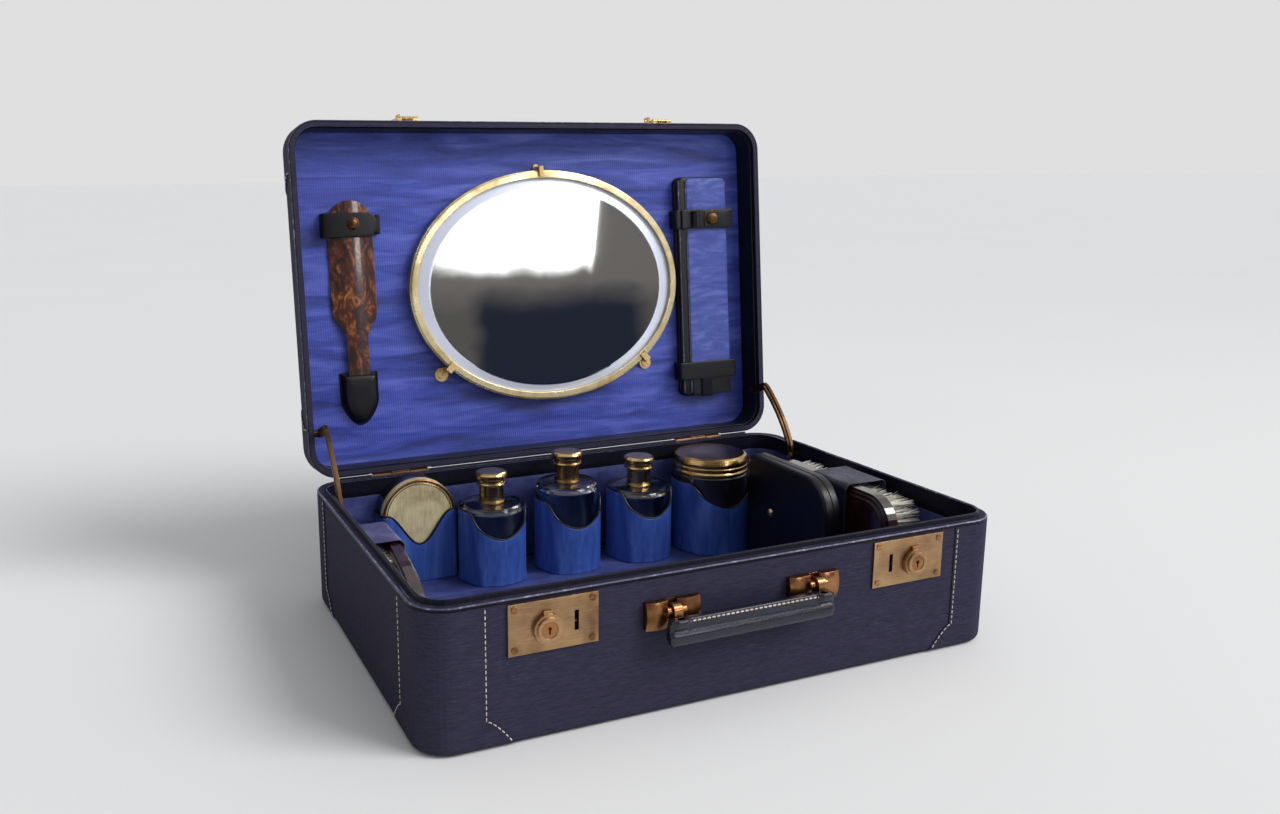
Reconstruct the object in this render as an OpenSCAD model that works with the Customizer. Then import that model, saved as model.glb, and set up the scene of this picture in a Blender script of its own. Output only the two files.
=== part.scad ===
// Fitted dressing case in leather, seen open: base tray with silk fittings, lid with mirror.
// Millimetres. X to the right, Y to the back, Z up. The origin is the middle of the base's underside.
// The drawing shows the case open, as it rests. The lid's pieces are drawn closed and then swung open.

/* [Case shell] */
// Width over the leather corners
case_w = 457; // [430:480]
// Depth over the leather corners
case_d = 300; // [285:320]
// Height of the base up to its rim
base_h = 98; // [92:106]
// Depth of the lid from its rim to its outside face
lid_h = 35.1; // [33:40]
// Air between the two rims when the lid is shut
rim_gap = 0.2; // [0.1:0.05:0.4]
// Radius of the upright corners
corner_r = 25; // [20:30]
// Radius round the underside of the base
foot_r = 5; // [3:7]
// Radius round the outside face of the lid
crown_r = 13; // [9:14]
// Thickness of the walls, base and lid
wall = 5.5; // [5:0.1:6]
// Thickness of the base board
board_t = 6; // [5:0.5:7]
// Thickness of the lid's outside board
lid_board_t = 4; // [3:0.5:4.5]
// Thickness of the leather corner patches
patch_t = 0.8; // [0.6:0.1:1.2]
// How far a patch reaches from the corner along the wall
patch_reach = 44.5; // [40:48]
// Height where a patch's edge turns outward
patch_turn = 20; // [15:24]
// How far a patch's foot runs past its edge
patch_flare = 19; // [12:22]
// Height of the bead sewn round each rim
bead_h = 2.6; // [2:0.1:3]
// Depth of the bead into the wall
bead_t = 1.6; // [1.4:0.1:2]

/* [Lip and linings] */
// Thickness of the padded floor lining
floor_pad = 2; // [1.5:0.25:3]
// Thickness of the silk on the walls
silk_t = 1.5; // [1:0.25:1.5]
// Inner face of the leather lip, from the outside of the case
lip_in = 8; // [7.8:0.1:8.4]
// Height of the lip below the rim
lip_drop = 14; // [12:16]
// Rise of the lip above the rim
lip_rise = 3.5; // [3:0.25:3.75]
// Clearance between the lip and the lid's wall
lip_clear = 0.4; // [0.3:0.05:0.6]
// Where the raised lip ends, from the middle of the case
lip_back = 100; // [92:103]
// Start of the lid's silk above its rim
lid_silk_up = 4.5; // [4.3:0.1:5]
// Depth of the lid's silk panel below its rim
panel_d = 29; // [28:29.5]
// Thickness of the lid's silk panel
panel_t = 2; // [1.5:0.25:2]

/* [Rear hinges] */
// Opening angle of the lid
open_angle = 96; // [94:98]
// Distance of the hinge pins behind the case
hinge_out = 1.5; // [1.4:0.1:1.8]
// Distance of the hinge pins below the base's rim
hinge_drop = 0.1; // [0:0.05:0.2]
// Distance of each hinge from the middle
hinge_x = 150; // [130:155]
// Width of each hinge
hinge_w = 50; // [40:54]
// Height of each hinge leaf
hinge_leaf_h = 24; // [18:28]
// Thickness of each hinge leaf
hinge_leaf_t = 1.2; // [1:0.1:1.4]
// Radius of the hinge knuckles
knuckle_r = 1.8; // [1.7:0.05:1.9]
// Radius of the hinge pins
hinge_pin_r = 1; // [0.8:0.1:1.1]
// Running clearance round pins and studs
run_clear = 0.05; // [0.02:0.01:0.09]
// Gap between the ends of the knuckles
knuckle_gap = 0.5; // [0.4:0.1:0.8]

/* [Lid stays] */
// Middle of the stay arms, from the middle of the case
stay_x = 217; // [216.9:0.1:217.2]
// Thickness of a stay arm
stay_t = 3; // [2.6:0.1:3.2]
// Half the width of a stay arm
stay_half = 3.6; // [3.4:0.1:3.7]
// Radius of the studs that carry the stays
stud_r = 1.2; // [1.1:0.1:1.4]
// Radius of the studs' heads and shoulders
stud_head_r = 3; // [2.6:0.1:3.1]
// Thickness of the studs' heads
stud_head_t = 0.9; // [0.8:0.1:1]
// Side clearance of the slot round its stud
slot_clear = 0.2; // [0.15:0.05:0.3]
// Front to back place of the base stud
base_stud_y = 92; // [90:94]
// Height of the base stud
base_stud_z = 88; // [87:89]
// Place of the lid stud in front of the hinge pins, lid shut
lid_stud_back = 41; // [40:42]
// Place of the lid stud above the hinge pins, lid shut
lid_stud_up = 4; // [3.5:0.25:4.5]
// Share of the lid's swing that the arm follows
stay_share = 0.6; // [0.58:0.01:0.62]

/* [Locks] */
// Middle of each lock plate, from the middle of the case
lock_x = 140; // [134:146]
// Width of a lock plate
lock_w = 62; // [58:64]
// Bottom edge of the lock plates
lock_z0 = 60.3; // [58:62]
// Top edge of the lock plates
lock_z1 = 94.3; // [92:95]
// Thickness of the lock plates
lock_t = 1.6; // [1.2:0.1:1.8]
// Height of the middle of the lock knobs
knob_z = 75.7; // [74:77]
// Knob's place outward of the middle of the plate
knob_off = 4.8; // [4:6]
// Radius of the lock knobs
knob_r = 9.8; // [9:10]
// Height of the lock knobs over the plate
knob_h = 4.6; // [4:0.2:5.2]
// Travel of the lock knobs
knob_travel = 4; // [3:0.5:5]
// Radius of the key barrels
barrel_r = 5.6; // [5:0.1:6]
// Radius of the bolt inside the lock
bolt_r = 1; // [0.8:0.1:1]
// Hasp slot's place inward of the middle of the plate
slot_off = 15.7; // [14:17]
// Width of the hasp slot
slot_w = 3; // [2.8:0.1:3.6]
// Lower end of the hasp slot
slot_z0 = 70.5; // [69.5:71]
// Upper end of the hasp slot
slot_z1 = 84; // [83:85]
// Depth of the lock's box in the wall
lock_box_d = 4.2; // [4.1:0.1:4.3]
// Radius of the lock screws' heads
screw_r = 2.3; // [2:0.1:2.6]

/* [Hasps on the lid] */
// Width of a hasp
hasp_w = 19; // [17:19.5]
// Thickness of a hasp
hasp_t = 1.2; // [1:0.1:1.4]
// Distance of the hasp pins in front of the case
hasp_out = 2.4; // [2.2:0.1:2.8]
// Distance of the hasp pins above the lid's rim
hasp_up = 5; // [4.8:0.1:6]
// Radius of the hasp knuckles
hasp_knuckle_r = 1.7; // [1.6:0.05:1.8]
// Radius of the hasp pins
hasp_pin_r = 0.9; // [0.7:0.05:1]
// Width of the middle knuckle
hasp_mid_w = 9; // [7:11]
// Thickness of the staple that enters the lock
staple_t = 1.8; // [1.5:0.1:2]

/* [Handle] */
// Height of the handle pins
handle_z = 74.5; // [73:76]
// Distance of the handle pins in front of the case
handle_out = 6.5; // [6.2:0.1:7]
// Radius of the handle pins
handle_pin_r = 1.5; // [1.2:0.1:1.6]
// Inner end of each handle loop
loop_x0 = 53.4; // [52:54]
// Width of each handle loop
loop_w = 6.2; // [5:0.2:6.4]
// Outer radius of each handle loop
loop_r = 5.4; // [4.6:0.1:5.5]
// Half the length of the leather grip
grip_half = 63; // [62:66]
// Height of the leather grip
grip_h = 19; // [16:20]
// Thickness of the leather grip
grip_t = 8; // [7:0.5:9]
// Drop of the grip's top below the pins
grip_drop = 3.4; // [3.3:0.1:4]
// Air between the grip's back and the pins' middle
grip_fore = 2; // [1.8:0.1:3]
// Height of the brackets' lobes
lobe_h = 19; // [16:20]
// How far the brackets' lobes stand out
lobe_out = 7; // [6:0.5:7]
// Width of each outer lobe
lobe_outer_w = 16; // [14:18]
// Width of each inner lobe
lobe_inner_w = 17.5; // [15:19]
// Radius of the ears round the handle pins
ear_r = 3; // [2.6:0.1:3.2]

/* [Bottles and jar] */
// Front to back place of the bottles
bottle_y = 110.5; // [108:111.5]
// Distance between the bottles
bottle_pitch = 71.8; // [70:73]
// Place of the middle bottle
bottle_x = -9.5; // [-12:-7]
// Radius of the glass bottles
bottle_r = 27.8; // [26:28.2]
// Thickness of the bottles' glass
glass_wall = 2.2; // [1.8:0.1:3]
// Height of the left bottle's shoulder
shoulder_left = 75; // [72:78]
// Height of the middle bottle's shoulder
shoulder_mid = 85; // [80:86]
// Height of the right bottle's shoulder
shoulder_right = 73; // [70:76]
// Wall of the silk holders
holder_wall = 1.2; // [1:0.1:1.6]
// Clearance of a vessel in its holder
holder_clear = 0.4; // [0.3:0.1:0.8]
// Height of the bottle holders
holder_top = 72; // [68:76]
// Lowest point of the scoop in front of a bottle
scoop_z = 49; // [44:56]
// Radius of the bottles' necks
neck_r = 9; // [8:9.4]
// Height of the bottles' necks
neck_h = 14; // [11:16]
// Radius of a gilt cap's skirt
cap_r = 10.6; // [10.2:0.1:11.5]
// Height of a gilt cap
cap_h = 27; // [25:27]
// Radius of a gilt cap's flange
cap_flange_r = 14; // [12.5:0.5:15]
// Place of the jar from the middle
jar_x = 136; // [134:137]
// Front to back place of the jar
jar_y = 106.5; // [104:107]
// Radius of the jar
jar_r = 34.4; // [32:35]
// Height of the jar's shoulder
jar_top = 80; // [76:82]
// Height of the jar's lid
jar_lid_h = 16.7; // [14:18]
// Height of the jar holder
jar_holder_top = 74; // [70:78]
// Lowest point of the scoop in front of the jar
jar_scoop_z = 52; // [48:58]
// Radius of the jar's neck
jar_neck_r = 31; // [29:31.5]
// Seat gap between a loose piece and what it stands on
seat_gap = 0.3; // [0.2:0.05:0.4]

/* [Round box] */
// Radius of the round box
box_r = 32.5; // [31:33]
// Thickness of the round box with its lid
box_t = 20; // [18:21]
// Height of the round box's middle
box_z = 66.5; // [66:68]
// Thickness of the round box's lid
box_lid_t = 7; // [6:8]
// Side wall of the box holder
box_wall = 0.6; // [0.5:0.1:1]
// Air between the box holder and the next bottle's holder
box_gap = 0.4; // [0.3:0.1:1]
// Height of the box holder
box_holder_top = 69.5; // [67:72]
// Lowest point of the dip in the box holder's front
dip_z = 42; // [40:46]

/* [Brushes] */
// Length of each brush
brush_l = 158; // [150:160]
// Height of a brush standing on its edge
brush_h = 66; // [60:68]
// Corner radius of the right brush
brush_corner = 26; // [20:30]
// Thickness of the right brush's back
brush_back_t = 12; // [10:13]
// Inner face of the right brush's back, from the middle of the case
brush_x = 175; // [174:0.5:175.5]
// Middle of the right brush, front to back
brush_right_y = -9; // [-12:-6]
// Underside of the right brush
brush_right_z = 32; // [30:33]
// Middle of the left brush, front to back
brush_left_y = 38; // [36:40]
// Underside of the left brush
brush_left_z = 17; // [16:18]
// Inner face of the oval left brush's back, from the middle of the case
brush_left_x = 187; // [186:0.5:187.5]
// Thickness of the left brush's back
brush_left_back_t = 11; // [10:0.5:11.5]
// Length of the left brush's bristles
bristle_left_l = 13; // [12:0.5:13.5]
// Middle of the right brush's silk band
band_right_y = -16.5; // [-20:-12]
// Middle of the left brush's silk band
band_left_y = 43.6; // [42:46]
// Width of the brushes' silk bands
band_w = 47; // [42:50]
// Thickness of the silk bands
band_t = 1.5; // [1:0.25:1.5]
// Length of the right brush's bristles
bristle_l = 24; // [20:24.5]
// Half width of a tuft of bristles
bristle_half = 0.9; // [0.7:0.1:1]
// Distance between tufts
bristle_pitch = 6.1; // [6:0.1:7]
// Thickness of the slice that holds the bristles
bristle_seat = 2; // [1.5:0.25:2.5]

/* [Jewel case] */
// Inner side of the jewel case
jewel_x = 150; // [149:152]
// Thickness of the jewel case
jewel_t = 16; // [14:18]
// Front end of the jewel case
jewel_y0 = -45; // [-50:-40]
// Back end of the jewel case
jewel_y1 = 66; // [60:67]
// Top of the jewel case
jewel_top = 104; // [98:106]
// Radius of the jewel case's upper corner
jewel_corner = 30; // [20:36]

/* [Mirror] */
// Middle of the mirror, left to right
mirror_x = 8; // [4:10]
// Middle of the mirror, from the lid's back edge
mirror_t = 153.7; // [150:156]
// Half width of the mirror's frame
mirror_a = 134.5; // [128:135]
// Half height of the mirror's frame
mirror_b = 105.5; // [100:106]
// Width of the mirror's frame
frame_w = 7; // [6:8]
// Depth of the frame's front below the lid's rim
frame_front = 16.5; // [16:17.5]
// Depth of the frame's back below the lid's rim
frame_back = 26.5; // [24:27]
// Thickness of the mirror glass
glass_t = 4; // [3:0.5:5]
// Width of the bevel on the glass
bevel_w = 10.5; // [8:12]
// Radius of a clip's foot
clip_r = 6.2; // [5.5:6.4]
// Distance of a clip's screw from the frame
clip_off = 8; // [7.8:0.1:8.6]
// How far a clip's tongue covers the frame
clip_lap = 5.5; // [4.5:6.5]
// Thickness of the clips
clip_t = 1.9; // [1.6:0.1:2]
// Distance of the top clip's screw from the frame
top_clip_off = 3.6; // [3.4:0.1:4]

/* [Shoehorn] */
// Middle of the shoehorn
horn_x = -175; // [-177:-172]
// Lower end of the shoehorn, from the lid's back edge
horn_t0 = 59; // [56:62]
// Upper end of the shoehorn
horn_t1 = 235.6; // [230:238]
// Half width of the shoehorn's blade
horn_half = 20; // [18:20.5]
// Half width of the shoehorn's neck
horn_neck = 9.5; // [8:10]
// Thickness of the shoehorn
horn_thick = 2.2; // [2:0.1:2.4]
// Radius of the shoehorn's hollow back
horn_curve = 55; // [52:60]
// Depth of the shoehorn's crest below the lid's rim
horn_crest = 22.3; // [21.8:0.1:22.6]
// Top edge of the shoehorn's pocket
pocket_t1 = 86.6; // [80:90]
// Lower point of the shoehorn's pocket
pocket_t0 = 41.6; // [38:46]
// Half width of the shoehorn's pocket
pocket_half = 16; // [15.5:17]
// Middle of the shoehorn's strap
horn_strap_t = 214.3; // [205:216]
// Width of the lid's straps
strap_w = 22; // [17:23]
// Thickness of the lid's straps
strap_t = 1.8; // [1.5:0.1:1.9]

/* [Manicure case] */
// Left side of the manicure case
mani_x0 = 147; // [146:148]
// Right side of the manicure case
mani_x1 = 201.6; // [199:202]
// Lower end of the manicure case, from the lid's back edge
mani_t0 = 37.6; // [36:42]
// Upper end of the manicure case
mani_t1 = 251.6; // [240:254]
// Depth of the manicure case's leather cover
mani_d0 = 18; // [17.8:0.1:18.4]
// Depth of the manicure case's silk face
mani_silk_d = 16.4; // [16.2:0.1:16.6]
// Middle of the manicure case's upper strap
mani_strap_t = 210.6; // [200:214]
// Middle of the manicure case's lower band
mani_band_t = 63.1; // [60:68]
// Width of the manicure case's lower band
mani_band_w = 17; // [15:19]

/* [Hidden] */

eps = 1;
arc_n = 10;
half_w = case_w / 2;
half_d = case_d / 2;
skin_y = half_d - patch_t;
rim_z = base_h + rim_gap;
lid_top = rim_z + lid_h;
floor_z = board_t + floor_pad;
lining_top = base_h - lip_drop;
hinge_y = half_d + hinge_out;
hinge_z = base_h - hinge_drop;
panel_z = rim_z + panel_d;
in_x = half_w - wall - silk_t;
in_y = half_d - wall - silk_t;
knuckle_w = (hinge_w - 2 * knuckle_gap) / 3;
base_swing = [base_stud_y - hinge_y, base_stud_z - hinge_z];
lid_stud = [-lid_stud_back, lid_stud_up];
slot_half = stud_r + slot_clear;
slot_steps = 32;
knob_x = lock_x + knob_off;
hasp_x = lock_x - slot_off;
bolt_y = -(skin_y - lock_box_d / 2 + 0.2);
hasp_z = rim_z + hasp_up;
hasp_y = -(half_d + hasp_out);
hasp_foot = slot_z0 - 2;
handle_y = -(half_d + handle_out);
grip_top = handle_z - grip_drop;
grip_back = handle_y - grip_fore;
holder_r = bottle_r + holder_clear;
jar_holder_r = jar_r + holder_clear;
box_front = half_d - lip_in - seat_gap - box_t;
box_holder_front = box_front - seat_gap - 1.7;
box_half = box_r + holder_clear + box_wall;
left_holder_r = holder_r + holder_wall;
box_x = bottle_x - bottle_pitch - box_gap - box_half
  - sqrt(pow(left_holder_r, 2) - pow(box_holder_front - bottle_y, 2));
tongue_d = frame_front - 0.3 - clip_t;
horn_sag = horn_curve - sqrt(horn_curve * horn_curve - horn_half * horn_half);
strap_d = mani_silk_d - 0.3 - 1.2 - 0.3 - strap_t;
horn_strap_d = horn_crest - 0.3 - 2 - 0.3 - strap_t;
mani_leg = mani_x1 + 1.6;

function swing(v, a) = [v[0] * cos(a) + v[1] * sin(a), -v[0] * sin(a) + v[1] * cos(a)];
function stay_path(a) = swing(base_swing - swing(lid_stud, a), -stay_share * (a - open_angle));
function unit(v) = v / norm(v);

// Outline of a band of half width w along a path, with round ends
function strip(p, w) = let (m = len(p) - 1,
  tan = [for (i = [0:m]) unit(p[min(i + 1, m)] - p[max(i - 1, 0)])],
  a0 = atan2(tan[0][1], tan[0][0]), a1 = atan2(tan[m][1], tan[m][0]))
  concat([for (i = [0:m]) p[i] + w * [-tan[i][1], tan[i][0]]],
    [for (k = [1:11]) p[m] + w * [cos(a1 + 90 - k * 15), sin(a1 + 90 - k * 15)]],
    [for (i = [0:m]) p[m - i] - w * [-tan[m - i][1], tan[m - i][0]]],
    [for (k = [1:11]) p[0] + w * [cos(a0 - 90 - k * 15), sin(a0 - 90 - k * 15)]]);
function rrect(w, d, r, n = arc_n) = [for (q = [0:3]) for (i = [0:n])
  let (a = q * 90 + i * 90 / n, sx = (q == 0 || q == 3) ? 1 : -1, sy = q < 2 ? 1 : -1)
  [sx * (w / 2 - r) + r * cos(a), sy * (d / 2 - r) + r * sin(a)]];
function ellipse_point(a, g = 0) = let (n = unit([cos(a) / mirror_a, sin(a) / mirror_b]))
  [mirror_x + mirror_a * cos(a) + g * n[0], mirror_t + mirror_b * sin(a) + g * n[1]];
function patch_curve(n = 8) = [for (i = [0:n]) let (u = i / n)
  [-patch_flare * u, patch_turn * (1 - pow(u, 1.4))]];

module both() {
  children();
  mirror([1, 0, 0]) children();
}

module side(s) {
  if (s < 0) mirror([1, 0, 0]) children();
  else children();
}

// Swings a piece of the lid from its shut place to the open one
module opened() {
  translate([0, hinge_y, hinge_z]) rotate([-open_angle, 0, 0])
    translate([0, -hinge_y, -hinge_z]) children();
}

// Places a piece by lid coordinates: x, distance t from the lid's back edge, depth d below its rim
module on_lid(x, t, d) {
  translate([x, half_d - t, rim_z + d]) children();
}

module lid_box(x0, x1, t0, t1, d0, d1) {
  translate([x0, half_d - t1, rim_z + d0]) cube([x1 - x0, t1 - t0, d1 - d0]);
}

module slab(o, z0, z1) {
  translate([0, 0, z0]) linear_extrude(z1 - z0)
    polygon(rrect(case_w - 2 * o, case_d - 2 * o, corner_r - o));
}

module hoop(o1, o2, z0, z1) {
  difference() {
    slab(o1, z0, z1);
    slab(o2, z0 - eps, z1 + eps);
  }
}

module base_form(o) {
  r = corner_r - o;
  hull() for (sx = [-1, 1]) for (sy = [-1, 1])
    translate([sx * (half_w - corner_r), sy * (half_d - corner_r), 0])
      rotate_extrude($fn = 40) polygon(concat([[0, 0]],
        [for (i = [0:5]) let (a = -90 + i * 18) [r - foot_r + foot_r * cos(a), foot_r + foot_r * sin(a)]],
        [[r, base_h], [0, base_h]]));
}

module lid_form(o) {
  r = corner_r - o;
  hull() for (sx = [-1, 1]) for (sy = [-1, 1])
    translate([sx * (half_w - corner_r), sy * (half_d - corner_r), 0])
      rotate_extrude($fn = 40) polygon(concat([[0, rim_z], [r, rim_z]],
        [for (i = [0:8]) let (a = i * 11.25) [r - crown_r + crown_r * cos(a),
          lid_top - crown_r + crown_r * sin(a)]], [[0, lid_top]]));
}

// Outline of one patch in the plane of a wall whose half length is h
module patch_zone(h, foot, far, dir) {
  e = h - patch_reach;
  pts = concat([[h + 9, far], [e, far]],
    [for (p = patch_curve()) [e + p[0], foot + dir * p[1]]],
    [[e - patch_flare, foot - dir * 9], [h + 9, foot - dir * 9]]);
  both() polygon(pts);
}

module patch_zones(foot, far, dir) {
  intersection() {
    rotate([90, 0, 0]) linear_extrude(case_d + 40, center = true)
      patch_zone(half_w, foot, far, dir);
    rotate([90, 0, 90]) linear_extrude(case_w + 40, center = true)
      patch_zone(half_d, foot, far, dir);
  }
}

module hinge_relief() {
  both() translate([hinge_x - hinge_w / 2 - 0.4, skin_y, base_h - bead_h - eps])
    cube([hinge_w + 0.8, 9, 2 * bead_h + rim_gap + 2 * eps]);
}

module base_tray() {
  color([0.10, 0.10, 0.18]) difference() {
    base_form(patch_t);
    slab(wall, board_t, base_h + eps);
    hoop(-eps, bead_t, base_h - bead_h, base_h + eps);
    both() {
      translate([hasp_x - slot_w / 2 - 3, -skin_y - eps, slot_z0 - 1])
        cube([knob_x + 3 + knob_travel + 2 - hasp_x + slot_w / 2 + 3, lock_box_d + eps,
          slot_z1 - slot_z0 + 2]);
      lock_screw_places() translate([0, 1.2, 0]) rotate([90, 0, 0]) cylinder(h = 8, r = 1.25, $fn = 24);
    }
  }
}

module base_rim() {
  color([0.13, 0.13, 0.22]) difference() {
    union() {
      hoop(0, bead_t, base_h - bead_h, base_h);
      hoop(wall, lip_in, lining_top, base_h);
      intersection() {
        hoop(wall + lip_clear, lip_in, base_h, base_h + lip_rise);
        translate([-case_w, lip_back - 2 * case_d, 0]) cube([2 * case_w, 2 * case_d, 2 * case_d]);
      }
    }
    hinge_relief();
  }
}

module base_corner_patches() {
  color([0.12, 0.12, 0.20]) intersection() {
    difference() {
      base_form(0);
      base_form(patch_t);
    }
    patch_zones(0, 2 * base_h, 1);
    translate([-case_w, -case_d, 1.2]) cube([2 * case_w, 2 * case_d, base_h - bead_h - 1.2]);
  }
}

module base_lining() {
  color([0.20, 0.24, 0.62]) union() {
    slab(wall, board_t, floor_z);
    hoop(wall, wall + silk_t, floor_z, lining_top);
  }
}

// A silk tube with a scoop cut out of its front
module scooped(x, y, r, top, low) {
  half = r * 0.86;
  sr = (half * half + (top - low) * (top - low)) / (2 * (top - low));
  translate([x, y, 0]) difference() {
    translate([0, 0, floor_z]) cylinder(h = top - floor_z, r = r + holder_wall, $fn = 96);
    translate([0, 0, floor_z - eps]) cylinder(h = top, r = r, $fn = 96);
    translate([0, 0, low + sr]) rotate([90, 0, 0]) cylinder(h = 2 * r, r = sr, $fn = 96);
  }
}

module bottle_holders() {
  color([0.18, 0.22, 0.60]) for (k = [-1, 0, 1])
    scooped(bottle_x + k * bottle_pitch, bottle_y, holder_r, holder_top, scoop_z);
}

module jar_holder() {
  color([0.18, 0.22, 0.60]) scooped(jar_x, jar_y, jar_holder_r, jar_holder_top, jar_scoop_z);
}

module box_holder() {
  w = box_half;
  front = box_holder_front;
  color([0.18, 0.22, 0.60]) difference() {
    translate([box_x - w, front, floor_z]) cube([2 * w, in_y - 0.3 - front, box_holder_top - floor_z]);
    translate([box_x, in_y + 9, box_z]) rotate([90, 0, 0])
      cylinder(h = in_y + 9 - box_front + seat_gap, r = box_r + holder_clear, $fn = 96);
    translate([box_x - box_r - holder_clear, box_front - seat_gap, box_z])
      cube([2 * (box_r + holder_clear), box_t + 9, 60]);
    translate([box_x, front - eps, 0]) rotate([-90, 0, 0]) mirror([0, 1, 0]) linear_extrude(4)
      polygon(concat([[-w + 5, box_holder_top + 9]],
        [for (i = [0:24]) let (u = i / 12 - 1, v = (1 + cos(180 * u)) / 2)
          [u * (w - 5), box_holder_top + 0.2 - (box_holder_top - dip_z) * pow(v, 0.9)]],
        [[w - 5, box_holder_top + 9]]));
  }
}

// A silk loop that carries one brush on its padded foot
module brush_band(x, y, z, back, hair) {
  x0 = x - seat_gap - band_t;
  x1 = x + back + bristle_seat + hair + seat_gap;
  difference() {
    translate([x0, y - band_w / 2, floor_z])
      cube([x1 + band_t - x0, band_w, z + brush_h + seat_gap + band_t - floor_z]);
    translate([x0 + band_t, y - band_w / 2 - eps, z - seat_gap])
      cube([x1 - x0 - band_t, band_w + 2 * eps, brush_h + 2 * seat_gap]);
  }
}

module brush_bands() {
  color([0.42, 0.40, 0.62]) union() {
    brush_band(brush_x, band_right_y, brush_right_z, brush_back_t, bristle_l);
    mirror([1, 0, 0]) brush_band(brush_left_x, band_left_y, brush_left_z, brush_left_back_t, bristle_left_l);
  }
}

module lock_screw_places() {
  for (sx = [-1, 1]) for (z = [lock_z0 + 3.7, lock_z1 - 3.7])
    translate([lock_x + sx * (lock_w / 2 - 4.2), -skin_y, z]) children();
}

module lock_plates() {
  color([0.72, 0.58, 0.30]) both() difference() {
    translate([lock_x - lock_w / 2, -skin_y - lock_t, lock_z0])
      cube([lock_w, lock_t, lock_z1 - lock_z0]);
    translate([hasp_x - slot_w / 2, -skin_y - 5, slot_z0]) cube([slot_w, 9, slot_z1 - slot_z0]);
    translate([knob_x - 3 - 0.4, -skin_y - 5, knob_z - 3 - 0.4])
      cube([6 + knob_travel + 0.8, 9, 6 + 0.8]);
    lock_screw_places() translate([0, 5, 0]) rotate([90, 0, 0]) cylinder(h = 12, r = 1.25, $fn = 24);
  }
}

module lock_screws() {
  color([0.45, 0.34, 0.20]) both() lock_screw_places() difference() {
    union() {
      rotate([90, 0, 0]) translate([0, 0, lock_t]) cylinder(h = 0.5, r = screw_r, $fn = 32);
      rotate([90, 0, 0]) translate([0, 0, -1.1]) cylinder(h = lock_t + 1.3, r = 1.2, $fn = 24);
    }
    translate([-screw_r - eps, -lock_t - 2, -0.25]) cube([2 * screw_r + 2 * eps, 1.75, 0.5]);
  }
}

module handle_ear(x0, x1) {
  translate([x0, handle_y, handle_z]) rotate([0, 90, 0]) cylinder(h = x1 - x0, r = ear_r, $fn = 32);
  translate([x0, handle_y, handle_z - ear_r]) cube([x1 - x0, -skin_y - handle_y, 2 * ear_r]);
}

module handle_lobe(x, w) {
  h = lobe_h;
  translate([x, -skin_y, handle_z - 3.5]) intersection() {
    translate([-w / 2, -lobe_out, -h / 2]) cube([w, lobe_out, h]);
    scale([1, 1, 1.15]) rotate([90, 0, 0]) translate([0, 0, lobe_out - 22]) sphere(r = 22, $fn = 64);
  }
}

module handle_brackets() {
  gap0 = loop_x0 - 0.4;
  gap1 = loop_x0 + loop_w + 0.4;
  color([0.70, 0.47, 0.25]) both() difference() {
    union() {
      translate([gap0 - lobe_inner_w, -skin_y - 1.2, handle_z - 3.5 - lobe_h / 2])
        cube([lobe_inner_w + gap1 - gap0 + lobe_outer_w, 1.2, lobe_h]);
      handle_lobe(gap0 - lobe_inner_w / 2, lobe_inner_w);
      handle_lobe(gap1 + lobe_outer_w / 2, lobe_outer_w);
      handle_ear(gap0 - 4, gap0);
      handle_ear(gap1, gap1 + 3);
    }
    translate([gap0 - 4 - eps, handle_y, handle_z]) rotate([0, 90, 0])
      cylinder(h = gap1 - gap0 + 8 + eps, r = handle_pin_r, $fn = 32);
  }
}

module base_pins() {
  color([0.60, 0.50, 0.35]) both() {
    translate([loop_x0 - 4.4, handle_y, handle_z]) rotate([0, 90, 0])
      cylinder(h = loop_w + 7.8, r = handle_pin_r, $fn = 32);
    translate([hinge_x - hinge_w / 2, hinge_y, hinge_z]) rotate([0, 90, 0])
      cylinder(h = hinge_w, r = hinge_pin_r, $fn = 32);
  }
}

module knuckle(x0, w) {
  translate([x0, hinge_y, hinge_z]) rotate([0, 90, 0]) cylinder(h = w, r = knuckle_r, $fn = 32);
}

module base_hinge_leaves() {
  x0 = hinge_x - hinge_w / 2;
  color([0.60, 0.46, 0.26]) both() difference() {
    union() {
      translate([x0, skin_y, hinge_z - knuckle_r - 0.5 - hinge_leaf_h])
        cube([hinge_w, hinge_leaf_t, hinge_leaf_h]);
      for (k = [0, 2]) {
        translate([x0 + k * (knuckle_w + knuckle_gap), skin_y, hinge_z - knuckle_r - 1])
          cube([knuckle_w, hinge_leaf_t, knuckle_r + 1]);
        knuckle(x0 + k * (knuckle_w + knuckle_gap), knuckle_w);
      }
    }
    translate([x0 - eps, hinge_y, hinge_z]) rotate([0, 90, 0])
      cylinder(h = hinge_w + 2 * eps, r = hinge_pin_r, $fn = 32);
  }
}

module lid_hinge_leaves() {
  x0 = hinge_x - hinge_w / 2;
  xm = x0 + knuckle_w + knuckle_gap;
  color([0.60, 0.46, 0.26]) opened() both() difference() {
    union() {
      translate([x0, skin_y, hinge_z + knuckle_r + 0.5])
        cube([hinge_w, hinge_leaf_t, hinge_leaf_h - 4]);
      translate([xm, skin_y, hinge_z]) cube([knuckle_w, hinge_leaf_t, knuckle_r + 1]);
      knuckle(xm, knuckle_w);
    }
    translate([x0 - eps, hinge_y, hinge_z]) rotate([0, 90, 0])
      cylinder(h = hinge_w + 2 * eps, r = hinge_pin_r + run_clear, $fn = 32);
  }
}

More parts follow.
